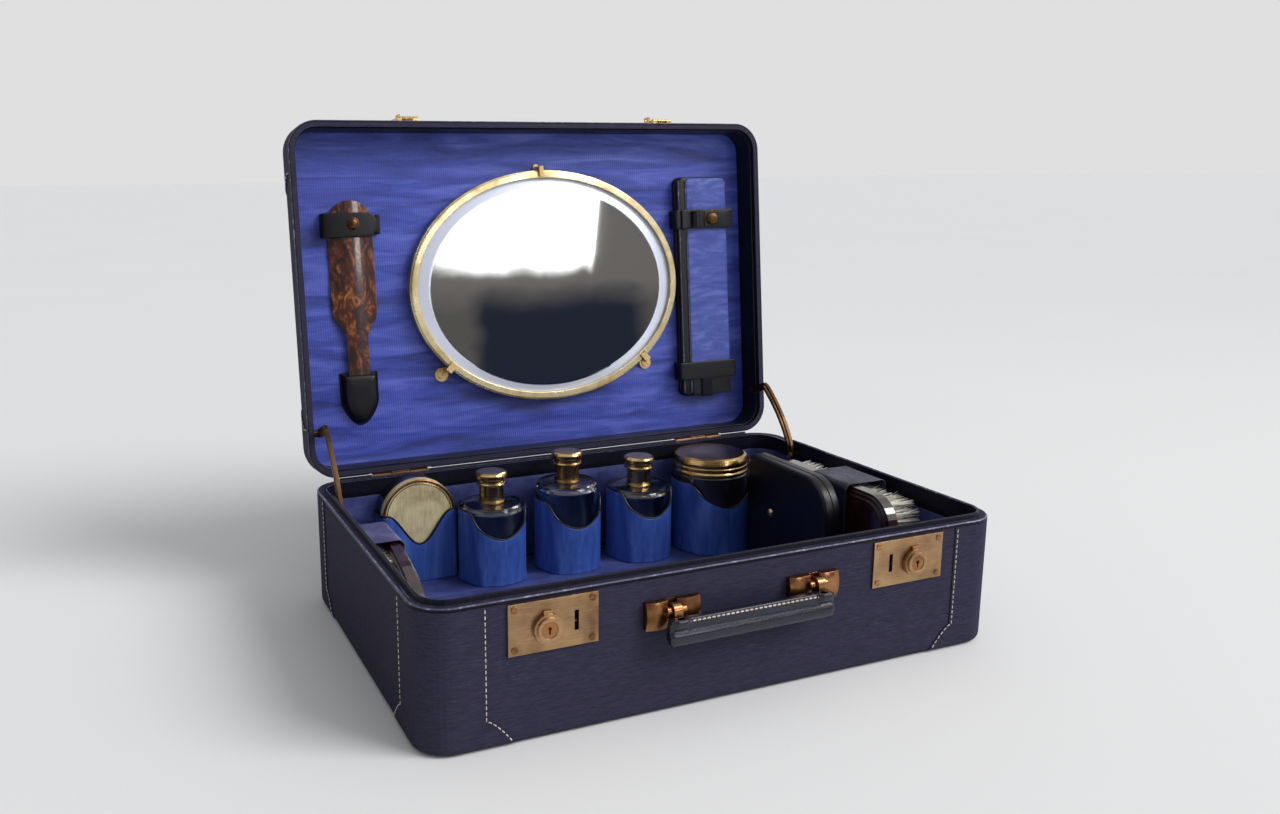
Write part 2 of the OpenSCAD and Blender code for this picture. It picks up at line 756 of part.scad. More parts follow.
// A stud that stands out of a side wall at x1 and carries the arm
module stay_stud(y, z, x1) {
  arm_in = stay_x - stay_t / 2;
  arm_out = stay_x + stay_t / 2;
  translate([0, y, z]) rotate([0, 90, 0]) {
    translate([0, 0, arm_out + 0.2]) cylinder(h = x1 - arm_out - 0.2, r = stud_head_r, $fn = 32);
    translate([0, 0, arm_in - 0.5]) cylinder(h = stay_t + 1, r = stud_r, $fn = 32);
    translate([0, 0, arm_in - 0.2 - stud_head_t]) cylinder(h = stud_head_t, r = stud_head_r, $fn = 32);
  }
}

module base_stay_studs() {
  color([0.75, 0.60, 0.32]) both() stay_stud(base_stud_y, base_stud_z, half_w - lip_in);
}

module lid_stay_studs() {
  color([0.75, 0.60, 0.32]) opened() both()
    stay_stud(hinge_y - lid_stud_back, hinge_z + lid_stud_up, half_w - wall);
}

// The arm is drawn as it lies with the lid open, along the path of the base stud
module stay_arm() {
  pivot = swing(lid_stud, open_angle) + [hinge_y, hinge_z];
  pts = [for (i = [0:slot_steps]) stay_path(open_angle * (1 - i / slot_steps))];
  translate([0, pivot[0], pivot[1]]) rotate([90, 0, 90])
    translate([0, 0, stay_x - stay_t / 2]) linear_extrude(stay_t) difference() {
      polygon(strip(concat(pts, [[0, 0]]), stay_half));
      polygon(strip(pts, slot_half));
      circle(r = stud_r + run_clear, $fn = 32);
    }
}

module stay_right() {
  color([0.50, 0.40, 0.24]) stay_arm();
}

module stay_left() {
  color([0.50, 0.40, 0.24]) mirror([1, 0, 0]) stay_arm();
}

module lid_shell() {
  color([0.10, 0.10, 0.18]) opened() difference() {
    lid_form(patch_t);
    slab(wall, rim_z - eps, lid_top - lid_board_t);
    hoop(-eps, bead_t, rim_z - eps, rim_z + bead_h);
  }
}

module lid_binding() {
  color([0.13, 0.13, 0.22]) opened() difference() {
    hoop(0, bead_t, rim_z, rim_z + bead_h);
    hinge_relief();
  }
}

module lid_corner_patches() {
  color([0.12, 0.12, 0.20]) opened() intersection() {
    difference() {
      lid_form(0);
      lid_form(patch_t);
    }
    patch_zones(lid_top, -base_h, -1);
    translate([-case_w, -case_d, rim_z + bead_h])
      cube([2 * case_w, 2 * case_d, lid_h - bead_h - 1.2]);
  }
}

module lid_panel() {
  color([0.24, 0.26, 0.68]) opened() slab(wall, panel_z, panel_z + panel_t);
}

module lid_lining() {
  color([0.22, 0.24, 0.64]) opened() difference() {
    hoop(wall, wall + silk_t, rim_z + lid_silk_up, panel_z);
    both() translate([half_w - wall - silk_t - eps, hinge_y - lid_stud_back, hinge_z + lid_stud_up])
      rotate([0, 90, 0]) cylinder(h = silk_t + 2 * eps, r = stud_head_r + 0.3, $fn = 32);
  }
}

module oval(a, b, z0, z1) {
  on_lid(mirror_x, mirror_t, z0) scale([1, b / a, 1]) cylinder(h = z1 - z0, r = a, $fn = 200);
}

module mirror_frame() {
  lip = frame_w;
  hold = frame_w - 2;
  color([0.86, 0.76, 0.50]) opened() difference() {
    union() {
      oval(mirror_a - 1.2, mirror_b - 1.2, frame_front, frame_front + 2);
      oval(mirror_a, mirror_b, frame_front + 2, frame_back);
    }
    oval(mirror_a - lip, mirror_b - lip, frame_front - eps, frame_front + 2.5);
    oval(mirror_a - hold, mirror_b - hold, frame_front + 2, frame_back + eps);
  }
}

module mirror_glass() {
  a = mirror_a - frame_w + 2;
  b = mirror_b - frame_w + 2;
  color([0.80, 0.84, 0.88]) opened() intersection() {
    oval(a, b, frame_front + 2, frame_front + 2 + glass_t);
    on_lid(mirror_x, mirror_t, frame_front + 2) scale([1, b / a, 1])
      cylinder(h = 8, r1 = a - 2 - bevel_w, r2 = a - 2 - bevel_w + (bevel_w + 2) * 8 / 1.8, $fn = 200);
  }
}

module mirror_back() {
  a = mirror_a - frame_w + 2;
  b = mirror_b - frame_w + 2;
  color([0.45, 0.38, 0.30]) opened() union() {
    oval(a, b, frame_front + 2 + glass_t, frame_back);
    oval(mirror_a - 1.5, mirror_b - 1.5, frame_back, panel_d);
  }
}

// A mirror clip: foot on the panel, riser beside the frame and tongue over it
module mirror_clip(a, off, foot, w, lap) {
  c = ellipse_point(a, off);
  e = ellipse_point(a, 0);
  turn = atan2(-(e[1] - c[1]), e[0] - c[0]);
  rise = off - 1.1;
  color([0.78, 0.62, 0.36]) opened() on_lid(c[0], c[1], 0) rotate([0, 0, turn]) difference() {
    union() {
      translate([0, 0, panel_d - 0.3 - clip_t]) cylinder(h = clip_t, r = foot, $fn = 48);
      translate([0, 0, panel_d - 0.3 - clip_t - 0.8]) cylinder(h = 1, r = foot * 0.62, $fn = 32);
      translate([rise - 2.4, -w / 2, tongue_d]) cube([2.4, w, panel_d - 0.3 - tongue_d]);
      translate([rise - 2.4, -w / 2, tongue_d]) cube([off + lap - rise + 2.4, w, clip_t]);
    }
    translate([-foot, -0.35, panel_d - 0.3 - clip_t - 2]) cube([2 * foot * 0.8, 0.7, 1.8]);
  }
}

module clip_left() {
  mirror_clip(221, clip_off, clip_r, 6, clip_lap);
}

module clip_right() {
  mirror_clip(316, clip_off, clip_r, 6, clip_lap);
}

module clip_top() {
  mirror_clip(92, top_clip_off, 2.9, 4, clip_lap);
}

module hasp_bases() {
  color([0.78, 0.62, 0.34]) opened() both() union() {
    translate([hasp_x - hasp_w / 2, -skin_y - 1.2, rim_z + bead_h + 0.2])
      cube([hasp_w, 1.2, hasp_up + 4 - bead_h]);
    for (sx = [-1, 1]) {
      w = (hasp_w - hasp_mid_w) / 2 - 0.3;
      xa = sx < 0 ? hasp_x - hasp_w / 2 : hasp_x + hasp_w / 2 - w;
      translate([xa, hasp_y, hasp_z]) rotate([0, 90, 0])
        cylinder(h = w, r = hasp_knuckle_r, $fn = 32);
      translate([xa, hasp_y, hasp_z - hasp_knuckle_r])
        cube([w, -skin_y - hasp_y, 2 * hasp_knuckle_r]);
    }
    translate([hasp_x - hasp_w / 2, hasp_y, hasp_z]) rotate([0, 90, 0])
      cylinder(h = hasp_w, r = hasp_pin_r, $fn = 32);
  }
}

// The flap drawn as it hangs over a lock, then folded back about its pin
module hasp_flap() {
  opened() translate([0, hasp_y, hasp_z]) rotate([180, 0, 0]) translate([0, -hasp_y, -hasp_z])
    difference() {
      union() {
        translate([hasp_x - hasp_mid_w / 2, hasp_y, hasp_z]) rotate([0, 90, 0])
          cylinder(h = hasp_mid_w, r = hasp_knuckle_r, $fn = 32);
        translate([hasp_x - hasp_mid_w / 2, hasp_y - hasp_t / 2, hasp_z - hasp_knuckle_r - 1])
          cube([hasp_mid_w, hasp_t, hasp_knuckle_r + 1]);
        translate([hasp_x - hasp_w / 2, hasp_y - hasp_t / 2, hasp_foot])
          cube([hasp_w, hasp_t, hasp_z - hasp_knuckle_r - 0.6 - hasp_foot]);
        translate([hasp_x - staple_t / 2, hasp_y, slot_z0 + 1.6])
          cube([staple_t, bolt_y + bolt_r + 0.9 - hasp_y, slot_z1 - slot_z0 - 4.6]);
      }
      translate([hasp_x - hasp_w, hasp_y, hasp_z]) rotate([0, 90, 0])
        cylinder(h = 2 * hasp_w, r = hasp_pin_r + run_clear, $fn = 32);
      translate([hasp_x - 4, bolt_y, knob_z]) rotate([0, 90, 0])
        cylinder(h = 8, r = bolt_r + 0.4, $fn = 24);
    }
}

module hasp_right() {
  color([0.80, 0.64, 0.36]) hasp_flap();
}

module hasp_left() {
  color([0.80, 0.64, 0.36]) mirror([1, 0, 0]) hasp_flap();
}

module lock_knob() {
  front = -skin_y - lock_t - 0.3;
  difference() {
    union() {
      translate([knob_x, front, knob_z]) rotate([90, 0, 0])
        cylinder(h = knob_h - 1.6, r = knob_r, $fn = 64);
      translate([knob_x, front, knob_z]) rotate([90, 0, 0])
        cylinder(h = knob_h, r = knob_r - 1.8, $fn = 64);
      translate([knob_x - 3, front - 2, knob_z + knob_r - 1.5]) cube([6, 2, 3.4]);
      translate([knob_x - 3, front - 1, knob_z - 3]) cube([6, bolt_y + bolt_r + 0.4 - front + 1, 6]);
      translate([hasp_x - staple_t / 2 - 1, bolt_y, knob_z]) rotate([0, 90, 0])
        cylinder(h = knob_x - hasp_x + staple_t / 2 + 1, r = bolt_r, $fn = 24);
    }
    translate([knob_x, front - knob_h - eps, knob_z]) rotate([-90, 0, 0])
      cylinder(h = knob_h - 1 + eps, r = barrel_r + run_clear, $fn = 64);
  }
}

module lock_knob_right() {
  color([0.74, 0.56, 0.28]) lock_knob();
}

module lock_knob_left() {
  color([0.74, 0.56, 0.28]) mirror([1, 0, 0]) lock_knob();
}

module key_barrel() {
  front = -skin_y - lock_t - 0.3;
  difference() {
    translate([knob_x, front - knob_h + 0.4, knob_z]) rotate([-90, 0, 0])
      cylinder(h = knob_h - 1.4, r = barrel_r, $fn = 64);
    translate([knob_x, front - knob_h - eps, knob_z + 0.8]) rotate([-90, 0, 0])
      cylinder(h = 3.6, r = 1.3, $fn = 24);
    translate([knob_x - 0.6, front - knob_h - eps, knob_z - 3]) cube([1.2, 3.6, 3.6]);
  }
}

module key_barrel_right() {
  color([0.66, 0.46, 0.24]) key_barrel();
}

module key_barrel_left() {
  color([0.66, 0.46, 0.24]) mirror([1, 0, 0]) key_barrel();
}

module handle_grip() {
  color([0.12, 0.12, 0.20]) difference() {
    translate([0, grip_back, grip_top - grip_h / 2]) rotate([90, 0, 0]) linear_extrude(grip_t)
      polygon(rrect(2 * grip_half, grip_h, 5));
    both() translate([loop_x0, grip_back - grip_t - eps, grip_top - 5])
      cube([loop_w, grip_t + 2 * eps, 9]);
  }
}

module handle_loops() {
  color([0.70, 0.47, 0.25]) both() difference() {
    union() {
      translate([loop_x0, handle_y, handle_z]) rotate([0, 90, 0])
        cylinder(h = loop_w, r = loop_r, $fn = 48);
      translate([loop_x0, grip_back - grip_t, grip_top - 5]) cube([loop_w, grip_t, 5]);
      translate([loop_x0, handle_y - loop_r, grip_top - 1]) cube([loop_w, loop_r - grip_fore, 4]);
    }
    translate([loop_x0 - eps, handle_y, handle_z]) rotate([0, 90, 0])
      cylinder(h = loop_w + 2 * eps, r = handle_pin_r + run_clear, $fn = 32);
  }
}

module bottle(k, top) {
  r = bottle_r;
  z = floor_z + seat_gap;
  translate([bottle_x + k * bottle_pitch, bottle_y, 0]) rotate_extrude($fn = 96)
    polygon([[0, z], [r - 2, z], [r, z + 2], [r, top - 3], [r - 0.9, top - 0.9], [r - 3, top],
      [neck_r, top], [neck_r, top + neck_h], [1.5, top + neck_h], [1.5, top - 2.4], [r - 5, top - 3],
      [r - glass_wall, top - 6], [r - glass_wall, z + 5], [r - 5, z + 3], [0, z + 2.4]]);
}

module cap(k, top) {
  z = top + seat_gap;
  r = cap_r;
  f = cap_flange_r;
  b = neck_r + 0.3;
  translate([bottle_x + k * bottle_pitch, bottle_y, 0]) rotate_extrude($fn = 96)
    polygon([[b, z], [r + 0.8, z], [r + 0.8, z + 1.4], [r, z + 2], [r, z + 15], [f - 1.6, z + 16],
      [f - 1, z + 17], [f - 1.6, z + 18.2], [f - 2.4, z + 18.6], [f - 2.4, z + 20.4], [f - 0.4, z + 21.4],
      [f, z + 22.2], [f, z + cap_h - 2], [f - 1, z + cap_h - 0.6], [f - 2.4, z + cap_h],
      [0, z + cap_h], [0, z + neck_h + 1], [b, z + neck_h + 1]]);
}

module bottle_left() {
  color([0.55, 0.58, 0.62]) bottle(-1, shoulder_left);
}

module bottle_middle() {
  color([0.55, 0.58, 0.62]) bottle(0, shoulder_mid);
}

module bottle_right() {
  color([0.55, 0.58, 0.62]) bottle(1, shoulder_right);
}

module cap_left() {
  color([0.85, 0.70, 0.38]) cap(-1, shoulder_left);
}

module cap_middle() {
  color([0.85, 0.70, 0.38]) cap(0, shoulder_mid);
}

module cap_right() {
  color([0.85, 0.70, 0.38]) cap(1, shoulder_right);
}

module jar() {
  z = floor_z + seat_gap;
  r = jar_r;
  color([0.30, 0.32, 0.40]) translate([jar_x, jar_y, 0]) rotate_extrude($fn = 96)
    polygon([[0, z], [r - 2, z], [r, z + 2], [r, jar_top - 1], [r - 1, jar_top], [jar_neck_r, jar_top],
      [jar_neck_r, jar_top + 6], [jar_neck_r - 3, jar_top + 6], [jar_neck_r - 3, z + 4], [0, z + 4]]);
}

module jar_lid() {
  z = jar_top + seat_gap;
  r = jar_r + 0.1;
  h = jar_lid_h;
  b = jar_neck_r + 0.3;
  color([0.80, 0.62, 0.32]) translate([jar_x, jar_y, 0]) rotate_extrude($fn = 96)
    polygon([[b, z], [r - 0.8, z], [r, z + 0.8], [r, z + 2.6], [r - 0.8, z + 3.4], [r - 1.2, z + 4],
      [r - 1.2, z + 5], [r - 0.6, z + 5.6], [r - 0.6, z + 7.4], [r - 1.2, z + 8], [r - 1.2, z + 9.4],
      [r - 0.5, z + 10], [r - 0.1, z + 11.4], [r - 0.5, z + 13], [r - 1.6, z + h - 1], [r - 4, z + h],
      [0, z + h], [0, z + 6.6], [b, z + 6.6]]);
}

module disc(x, y, z, r, h) {
  translate([x, y + h, z]) rotate([90, 0, 0]) cylinder(h = h, r = r, $fn = 96);
}

module round_box() {
  y0 = box_front + box_lid_t;
  neck = box_r - 2.2;
  color([0.22, 0.18, 0.16]) difference() {
    union() {
      disc(box_x, y0 + 0.2, box_z, box_r, box_t - box_lid_t - 0.2);
      disc(box_x, y0 - 4, box_z, neck, 5);
    }
    disc(box_x, y0 - 5, box_z, neck - 2, 4);
  }
}

module round_box_lid() {
  y0 = box_front;
  color([0.86, 0.78, 0.58]) difference() {
    union() {
      disc(box_x, y0 + 0.8, box_z, box_r, box_lid_t - 0.8);
      disc(box_x, y0, box_z, box_r - 2.6, 2);
    }
    disc(box_x, y0 + 2.4, box_z, box_r - 2.2 + run_clear, box_lid_t);
  }
}

// Outline of a brush drawn in by g: an oval, or a rectangle with round corners
function brush_outline(g, oval) = oval
  ? [for (i = [0:63]) [(brush_l / 2 - g) * cos(i * 5.625), (brush_h / 2 - g) * sin(i * 5.625)]]
  : rrect(brush_l - 2 * g, brush_h - 2 * g, brush_corner - g, 8);

module brush_back(x, y, z, t, oval) {
  union() {
    for (s = [[0, 1.5, 6], [1.5, 1.5, 2.6], [3, t - 3, 0]])
      translate([x + s[0], y, z + brush_h / 2]) rotate([90, 0, 90]) linear_extrude(s[1])
        polygon(brush_outline(s[2], oval));
  }
}

module brush_back_right() {
  color([0.24, 0.08, 0.06]) brush_back(brush_x, brush_right_y, brush_right_z, brush_back_t, false);
}

module brush_back_left() {
  color([0.24, 0.08, 0.06]) mirror([1, 0, 0])
    brush_back(brush_left_x, brush_left_y, brush_left_z, brush_left_back_t, true);
}

// Tufts in rows, four sided and tapered a little, each leaning outward from the middle
function tuft_rows() = floor((brush_h - 12) / bristle_pitch);
function tuft_cols() = floor((brush_l - 12) / bristle_pitch);
function in_round(y, z) = let (cy = brush_l / 2 - brush_corner, cz = brush_h / 2 - brush_corner,
  dy = max(abs(y) - cy, 0), dz = max(abs(z) - cz, 0)) sqrt(dy * dy + dz * dz) < brush_corner - 4.5;
function tufts(oval) = [for (i = [0:tuft_cols()]) for (j = [0:tuft_rows()])
  let (y = (i - tuft_cols() / 2) * bristle_pitch, z = (j - tuft_rows() / 2) * bristle_pitch)
  if (oval ? norm([y / (brush_l / 2 - 5), z / (brush_h / 2 - 5)]) < 1 : in_round(y, z)) [y, z]];

module bristles(x, y, z, l, oval) {
  t = tufts(oval);
  h = bristle_half;
  lean = 1.03;
  pts = [for (p = t) for (k = [0:7]) let (c = k % 4, up = k > 3, q = up ? p * lean : p,
    s = up ? h * 0.9 : h, sy = (c == 1 || c == 2) ? 1 : -1, sz = c > 1 ? 1 : -1)
    [up ? bristle_seat + l : bristle_seat - 0.6, q[0] + sy * s, q[1] + sz * s]];
  tri = [[0, 1, 2], [0, 2, 3], [4, 6, 5], [4, 7, 6], [0, 5, 1], [0, 4, 5], [1, 6, 2], [1, 5, 6],
    [2, 7, 3], [2, 6, 7], [3, 4, 0], [3, 7, 4]];
  translate([x, y, z + brush_h / 2]) union() {
    rotate([90, 0, 90]) linear_extrude(bristle_seat)
      polygon(brush_outline(2.5, oval));
    polyhedron(pts, [for (i = [0:len(t) - 1]) for (f = tri) [for (v = f) v + 8 * i]]);
  }
}

module bristles_right() {
  color([0.90, 0.87, 0.80]) bristles(brush_x + brush_back_t, brush_right_y, brush_right_z, bristle_l, false);
}

module bristles_left() {
  color([0.90, 0.87, 0.80]) mirror([1, 0, 0])
    bristles(brush_left_x + brush_left_back_t, brush_left_y, brush_left_z, bristle_left_l, true);
}

module jewel_case() {
  z0 = floor_z + seat_gap;
  c = jewel_corner;
  color([0.09, 0.09, 0.14]) union() {
    translate([jewel_x, 0, 0]) rotate([90, 0, 90]) linear_extrude(jewel_t)
      polygon(concat([[jewel_y1, z0], [jewel_y1, jewel_top - 6], [jewel_y1 - 6, jewel_top]],
        [for (i = [0:8]) let (a = 90 + i * 11.25) [jewel_y0 + c + c * cos(a), jewel_top - c + c * sin(a)]],
        [[jewel_y0, z0]]));
    translate([jewel_x, 30, 58]) rotate([0, -90, 0]) cylinder(h = 1.6, r = 4.2, $fn = 32);
  }
}

function horn_width(t) = let (u = (t - horn_t0) / (horn_t1 - horn_t0),
  f = u < 0.33 ? 0 : u > 0.45 ? 1 : (1 - cos(180 * (u - 0.33) / 0.12)) / 2)
  horn_neck + (horn_half - horn_neck) * f;

module shoehorn() {
  top = horn_t1 - horn_half;
  n = 20;
  right = [for (i = [0:n]) let (t = horn_t0 + 6 + (top - horn_t0 - 6) * i / n) [horn_width(t), t]];
  left = [for (i = [0:n]) [-right[n - i][0], right[n - i][1]]];
  cap = [for (i = [1:11]) let (a = i * 15) [horn_half * cos(a), top + horn_half * sin(a)]];
  foot = [for (i = [1:11]) let (a = 180 + i * 15) [horn_neck * cos(a), horn_t0 + 6 + 6 * sin(a)]];
  color([0.62, 0.34, 0.12]) opened() intersection() {
    on_lid(horn_x, 0, horn_crest - 4) mirror([0, 1, 0]) linear_extrude(16)
      polygon(concat(right, cap, left, foot));
    on_lid(horn_x, 0, horn_crest + horn_curve) rotate([90, 0, 0]) difference() {
      cylinder(h = case_d, r = horn_curve, $fn = 160);
      translate([0, 0, -eps]) cylinder(h = case_d + 2 * eps, r = horn_curve - horn_thick, $fn = 160);
    }
  }
}

module horn_pocket() {
  f = horn_crest - 2.3;
  m = pocket_t0 + (pocket_t1 - pocket_t0) * 0.45;
  color([0.10, 0.10, 0.16]) opened() union() {
    difference() {
      on_lid(horn_x, 0, f) mirror([0, 1, 0]) linear_extrude(panel_d - f)
        polygon(concat([[pocket_half, pocket_t1]],
          [for (i = [0:8]) let (a = -i * 11.25) [pocket_half * cos(a) * (1 - 0.12 * sin(-a)),
            m + (m - pocket_t0) * sin(a)]],
          [for (i = [1:8]) let (a = -90 - i * 11.25) [pocket_half * cos(a) * (1 - 0.12 * sin(-a)),
            m + (m - pocket_t0) * sin(a)]],
          [[-pocket_half, pocket_t1]]));
      lid_box(horn_x - horn_neck - 1.5, horn_x + horn_neck + 1.5, horn_t0 - 1.5, pocket_t1 + eps,
        horn_crest - 0.5, horn_crest + horn_thick + 1.4);
    }
    lid_box(horn_x - 6, horn_x + horn_half + 4.6, horn_strap_t - strap_w / 2 + 2,
      horn_strap_t + strap_w / 2 - 2, horn_crest - 2.3, horn_crest - 0.3);
    lid_box(horn_x + horn_half + 2.6, horn_x + horn_half + 4.6, horn_strap_t - strap_w / 2 + 2,
      horn_strap_t + strap_w / 2 - 2, horn_crest - 2.3, panel_d);
  }
}

module horn_strap() {
  x0 = horn_x - horn_half - 6;
  x1 = horn_x + horn_half + 5;
  color([0.08, 0.08, 0.13]) opened() union() {
    on_lid(0, horn_strap_t, horn_strap_d) linear_extrude(strap_t) union() {
      translate([x0, -strap_w / 2]) square([x1 - x0 - strap_w / 2, strap_w]);
      translate([x1 - strap_w / 2, 0]) circle(r = strap_w / 2, $fn = 48);
    }
    lid_box(x0, x0 + 2, horn_strap_t - strap_w / 2, horn_strap_t + strap_w / 2, horn_strap_d,
      panel_d - 0.5);
    on_lid(horn_x + 2, horn_strap_t + 0.5, horn_strap_d - 1.8) cylinder(h = 2, r1 = 5.2, r2 = 6.4, $fn = 48);
  }
}

module manicure_case() {
  w = mani_x1 - mani_x0;
  l = mani_t1 - mani_t0;
  color([0.09, 0.09, 0.15]) opened() on_lid((mani_x0 + mani_x1) / 2, (mani_t0 + mani_t1) / 2, mani_d0)
    linear_extrude(panel_d - 0.3 - mani_d0) polygon(rrect(w, l, 7, 6));
}

module manicure_silk() {
  x0 = mani_x0 + 9;
  w = mani_x1 - 1 - x0;
  l = mani_t1 - mani_t0 - 3;
  color([0.30, 0.32, 0.74]) opened() on_lid(x0 + w / 2, (mani_t0 + mani_t1) / 2, mani_silk_d)
    linear_extrude(mani_d0 - mani_silk_d) polygon(rrect(w, l, 5, 6));
}

module case_band() {
  x0 = mani_x0 - 3.6;
  t0 = mani_band_t - mani_band_w / 2;
  t1 = mani_band_t + mani_band_w / 2;
  d0 = mani_silk_d - 0.3 - 1.2;
  k0 = mani_strap_t - strap_w / 2 + 2;
  k1 = mani_strap_t + strap_w / 2 - 2;
  color([0.09, 0.09, 0.15]) opened() union() {
    lid_box(x0, mani_leg + 2, t0, t1, d0, d0 + 1.2);
    lid_box(x0, x0 + 2, t0, t1, d0, panel_d);
    lid_box(mani_leg, mani_leg + 2, t0, t1, d0, panel_d);
    lid_box(166, 178, t0 - 18, t0 + 1, d0, d0 + 1.2);
    lid_box(x0, x0 + 42, k0, k1, d0, d0 + 1.2);
    lid_box(x0, x0 + 2, k0, k1, d0, panel_d);
  }
}

module case_strap() {
  x0 = mani_x0 + 1;
  color([0.09, 0.09, 0.15]) opened() union() {
    on_lid(0, mani_strap_t, strap_d) linear_extrude(strap_t) union() {
      translate([x0 + strap_w / 2, -strap_w / 2 + 2]) square([mani_leg + 2 - x0 - strap_w / 2, strap_w - 4]);
      translate([x0 + strap_w / 2, 0]) circle(r = strap_w / 2 - 2, $fn = 48);
    }
    lid_box(mani_leg, mani_leg + 2, mani_strap_t - strap_w / 2 + 2, mani_strap_t + strap_w / 2 - 2,
      strap_d, panel_d - 0.5);
    on_lid(x0 + 33, mani_strap_t, strap_d - 2) scale([1, 0.8, 1]) cylinder(h = 2.2, r1 = 8, r2 = 9.5, $fn = 48);
  }
}

base_tray();
base_rim();
base_corner_patches();
base_lining();
bottle_holders();
jar_holder();
box_holder();
brush_bands();
lock_plates();
lock_screws();
handle_brackets();
base_pins();
base_hinge_leaves();
base_stay_studs();
lid_shell();
lid_binding();
lid_corner_patches();
lid_panel();
lid_lining();
mirror_frame();
mirror_glass();
mirror_back();
hasp_bases();
lid_hinge_leaves();
lid_stay_studs();
horn_pocket();
case_band();
hasp_left();
hasp_right();
stay_left();
stay_right();
clip_left();
clip_right();
clip_top();
shoehorn();
horn_strap();
manicure_case();
manicure_silk();
case_strap();
handle_grip();
handle_loops();
lock_knob_left();
lock_knob_right();
key_barrel_left();
key_barrel_right();
bottle_left();
bottle_middle();
bottle_right();
cap_left();
cap_middle();
cap_right();
jar();
jar_lid();
round_box();
round_box_lid();
brush_back_left();
brush_back_right();
bristles_left();
bristles_right();
jewel_case();
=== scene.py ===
# %% [markdown]
# # A fitted leather dressing case
# The case lies open on a pale floor: a navy leather tray with silk fittings for bottles, a jar, a
# round box and brushes, and a lid that carries an oval mirror. Its hard parts come packed from the
# CAD model. This lesson gives them their finishes, and builds the silk, the soft leather and the
# bristles as surfaces worked out with numpy. Lengths are in millimetres until a mesh is made.

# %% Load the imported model
import math

import bmesh
import bpy
import numpy as np
from mathutils import Matrix, Vector


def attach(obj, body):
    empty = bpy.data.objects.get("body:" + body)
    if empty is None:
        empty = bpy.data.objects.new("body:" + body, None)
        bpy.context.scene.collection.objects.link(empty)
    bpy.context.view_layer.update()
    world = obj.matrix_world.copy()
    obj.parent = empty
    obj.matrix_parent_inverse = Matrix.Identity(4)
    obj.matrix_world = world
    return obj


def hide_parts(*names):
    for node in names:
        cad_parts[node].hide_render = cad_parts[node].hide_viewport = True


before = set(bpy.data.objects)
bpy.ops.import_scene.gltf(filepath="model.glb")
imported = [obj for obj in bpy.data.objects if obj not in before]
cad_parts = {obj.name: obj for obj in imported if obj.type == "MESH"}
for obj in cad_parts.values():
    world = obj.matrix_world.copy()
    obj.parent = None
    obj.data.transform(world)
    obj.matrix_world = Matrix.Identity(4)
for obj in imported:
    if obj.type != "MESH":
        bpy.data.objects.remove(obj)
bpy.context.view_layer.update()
MM = 0.001

# %% [markdown]
# ## The camera
# The photograph was taken from the left, a little above the open tray. Its view was worked out from
# the edges of the case: where the camera stood, its yaw, pitch and roll, and a lens centre left of
# the frame's middle. A Track To constraint gives no roll, so the matrix is written directly.

# %% Place the camera
YAW, PITCH, ROLL = 0.3899736, 0.1997748, -0.0089364
STAND = (-0.399505, -0.727495, 0.354668)
WIDE, HIGH = 1280, 814
FOCUS, CENTRE = 1080.152, (518.728, 389.675)    # all in the photograph's pixels
ahead = np.array([math.sin(YAW) * math.cos(PITCH), math.cos(YAW) * math.cos(PITCH),
                  -math.sin(PITCH)])
level = np.array([math.cos(YAW), -math.sin(YAW), 0.0])
over = np.cross(level, ahead)
right = math.cos(ROLL) * level + math.sin(ROLL) * over
upward = -math.sin(ROLL) * level + math.cos(ROLL) * over
camera = bpy.data.objects.new("Camera", bpy.data.cameras.new("Camera"))
bpy.context.scene.collection.objects.link(camera)
camera.matrix_world = Matrix([[right[k], upward[k], -ahead[k], STAND[k]] for k in range(3)]
                             + [[0, 0, 0, 1]])
camera.data.lens = FOCUS * 36 / WIDE
camera.data.shift_x = 0.5 - CENTRE[0] / WIDE
camera.data.shift_y = (CENTRE[1] - HIGH / 2) / WIDE
camera.data.clip_start, camera.data.clip_end = 0.05, 200
bpy.context.scene.camera = camera
print("lens", round(camera.data.lens, 2), "shift", round(camera.data.shift_x, 4))

# %% [markdown]
# ## Node finishes
# A finish is a node material. Building its tree by hand takes many lines, so a small class adds one
# node per call and gives back its socket. Patterns read Object coordinates in metres, or on cloth
# the piece's own map, Cloth, measured in metres along the fabric, so a rib has its real width.

# %% A class for finishes
def tint(text):
    """A colour written as six hex digits, turned from screen values into linear light."""
    s = np.array([int(text[k:k + 2], 16) / 255 for k in (0, 2, 4)])
    return (*np.where(s <= 0.04045, s / 12.92, ((s + 0.055) / 1.055) ** 2.4).tolist(), 1.0)


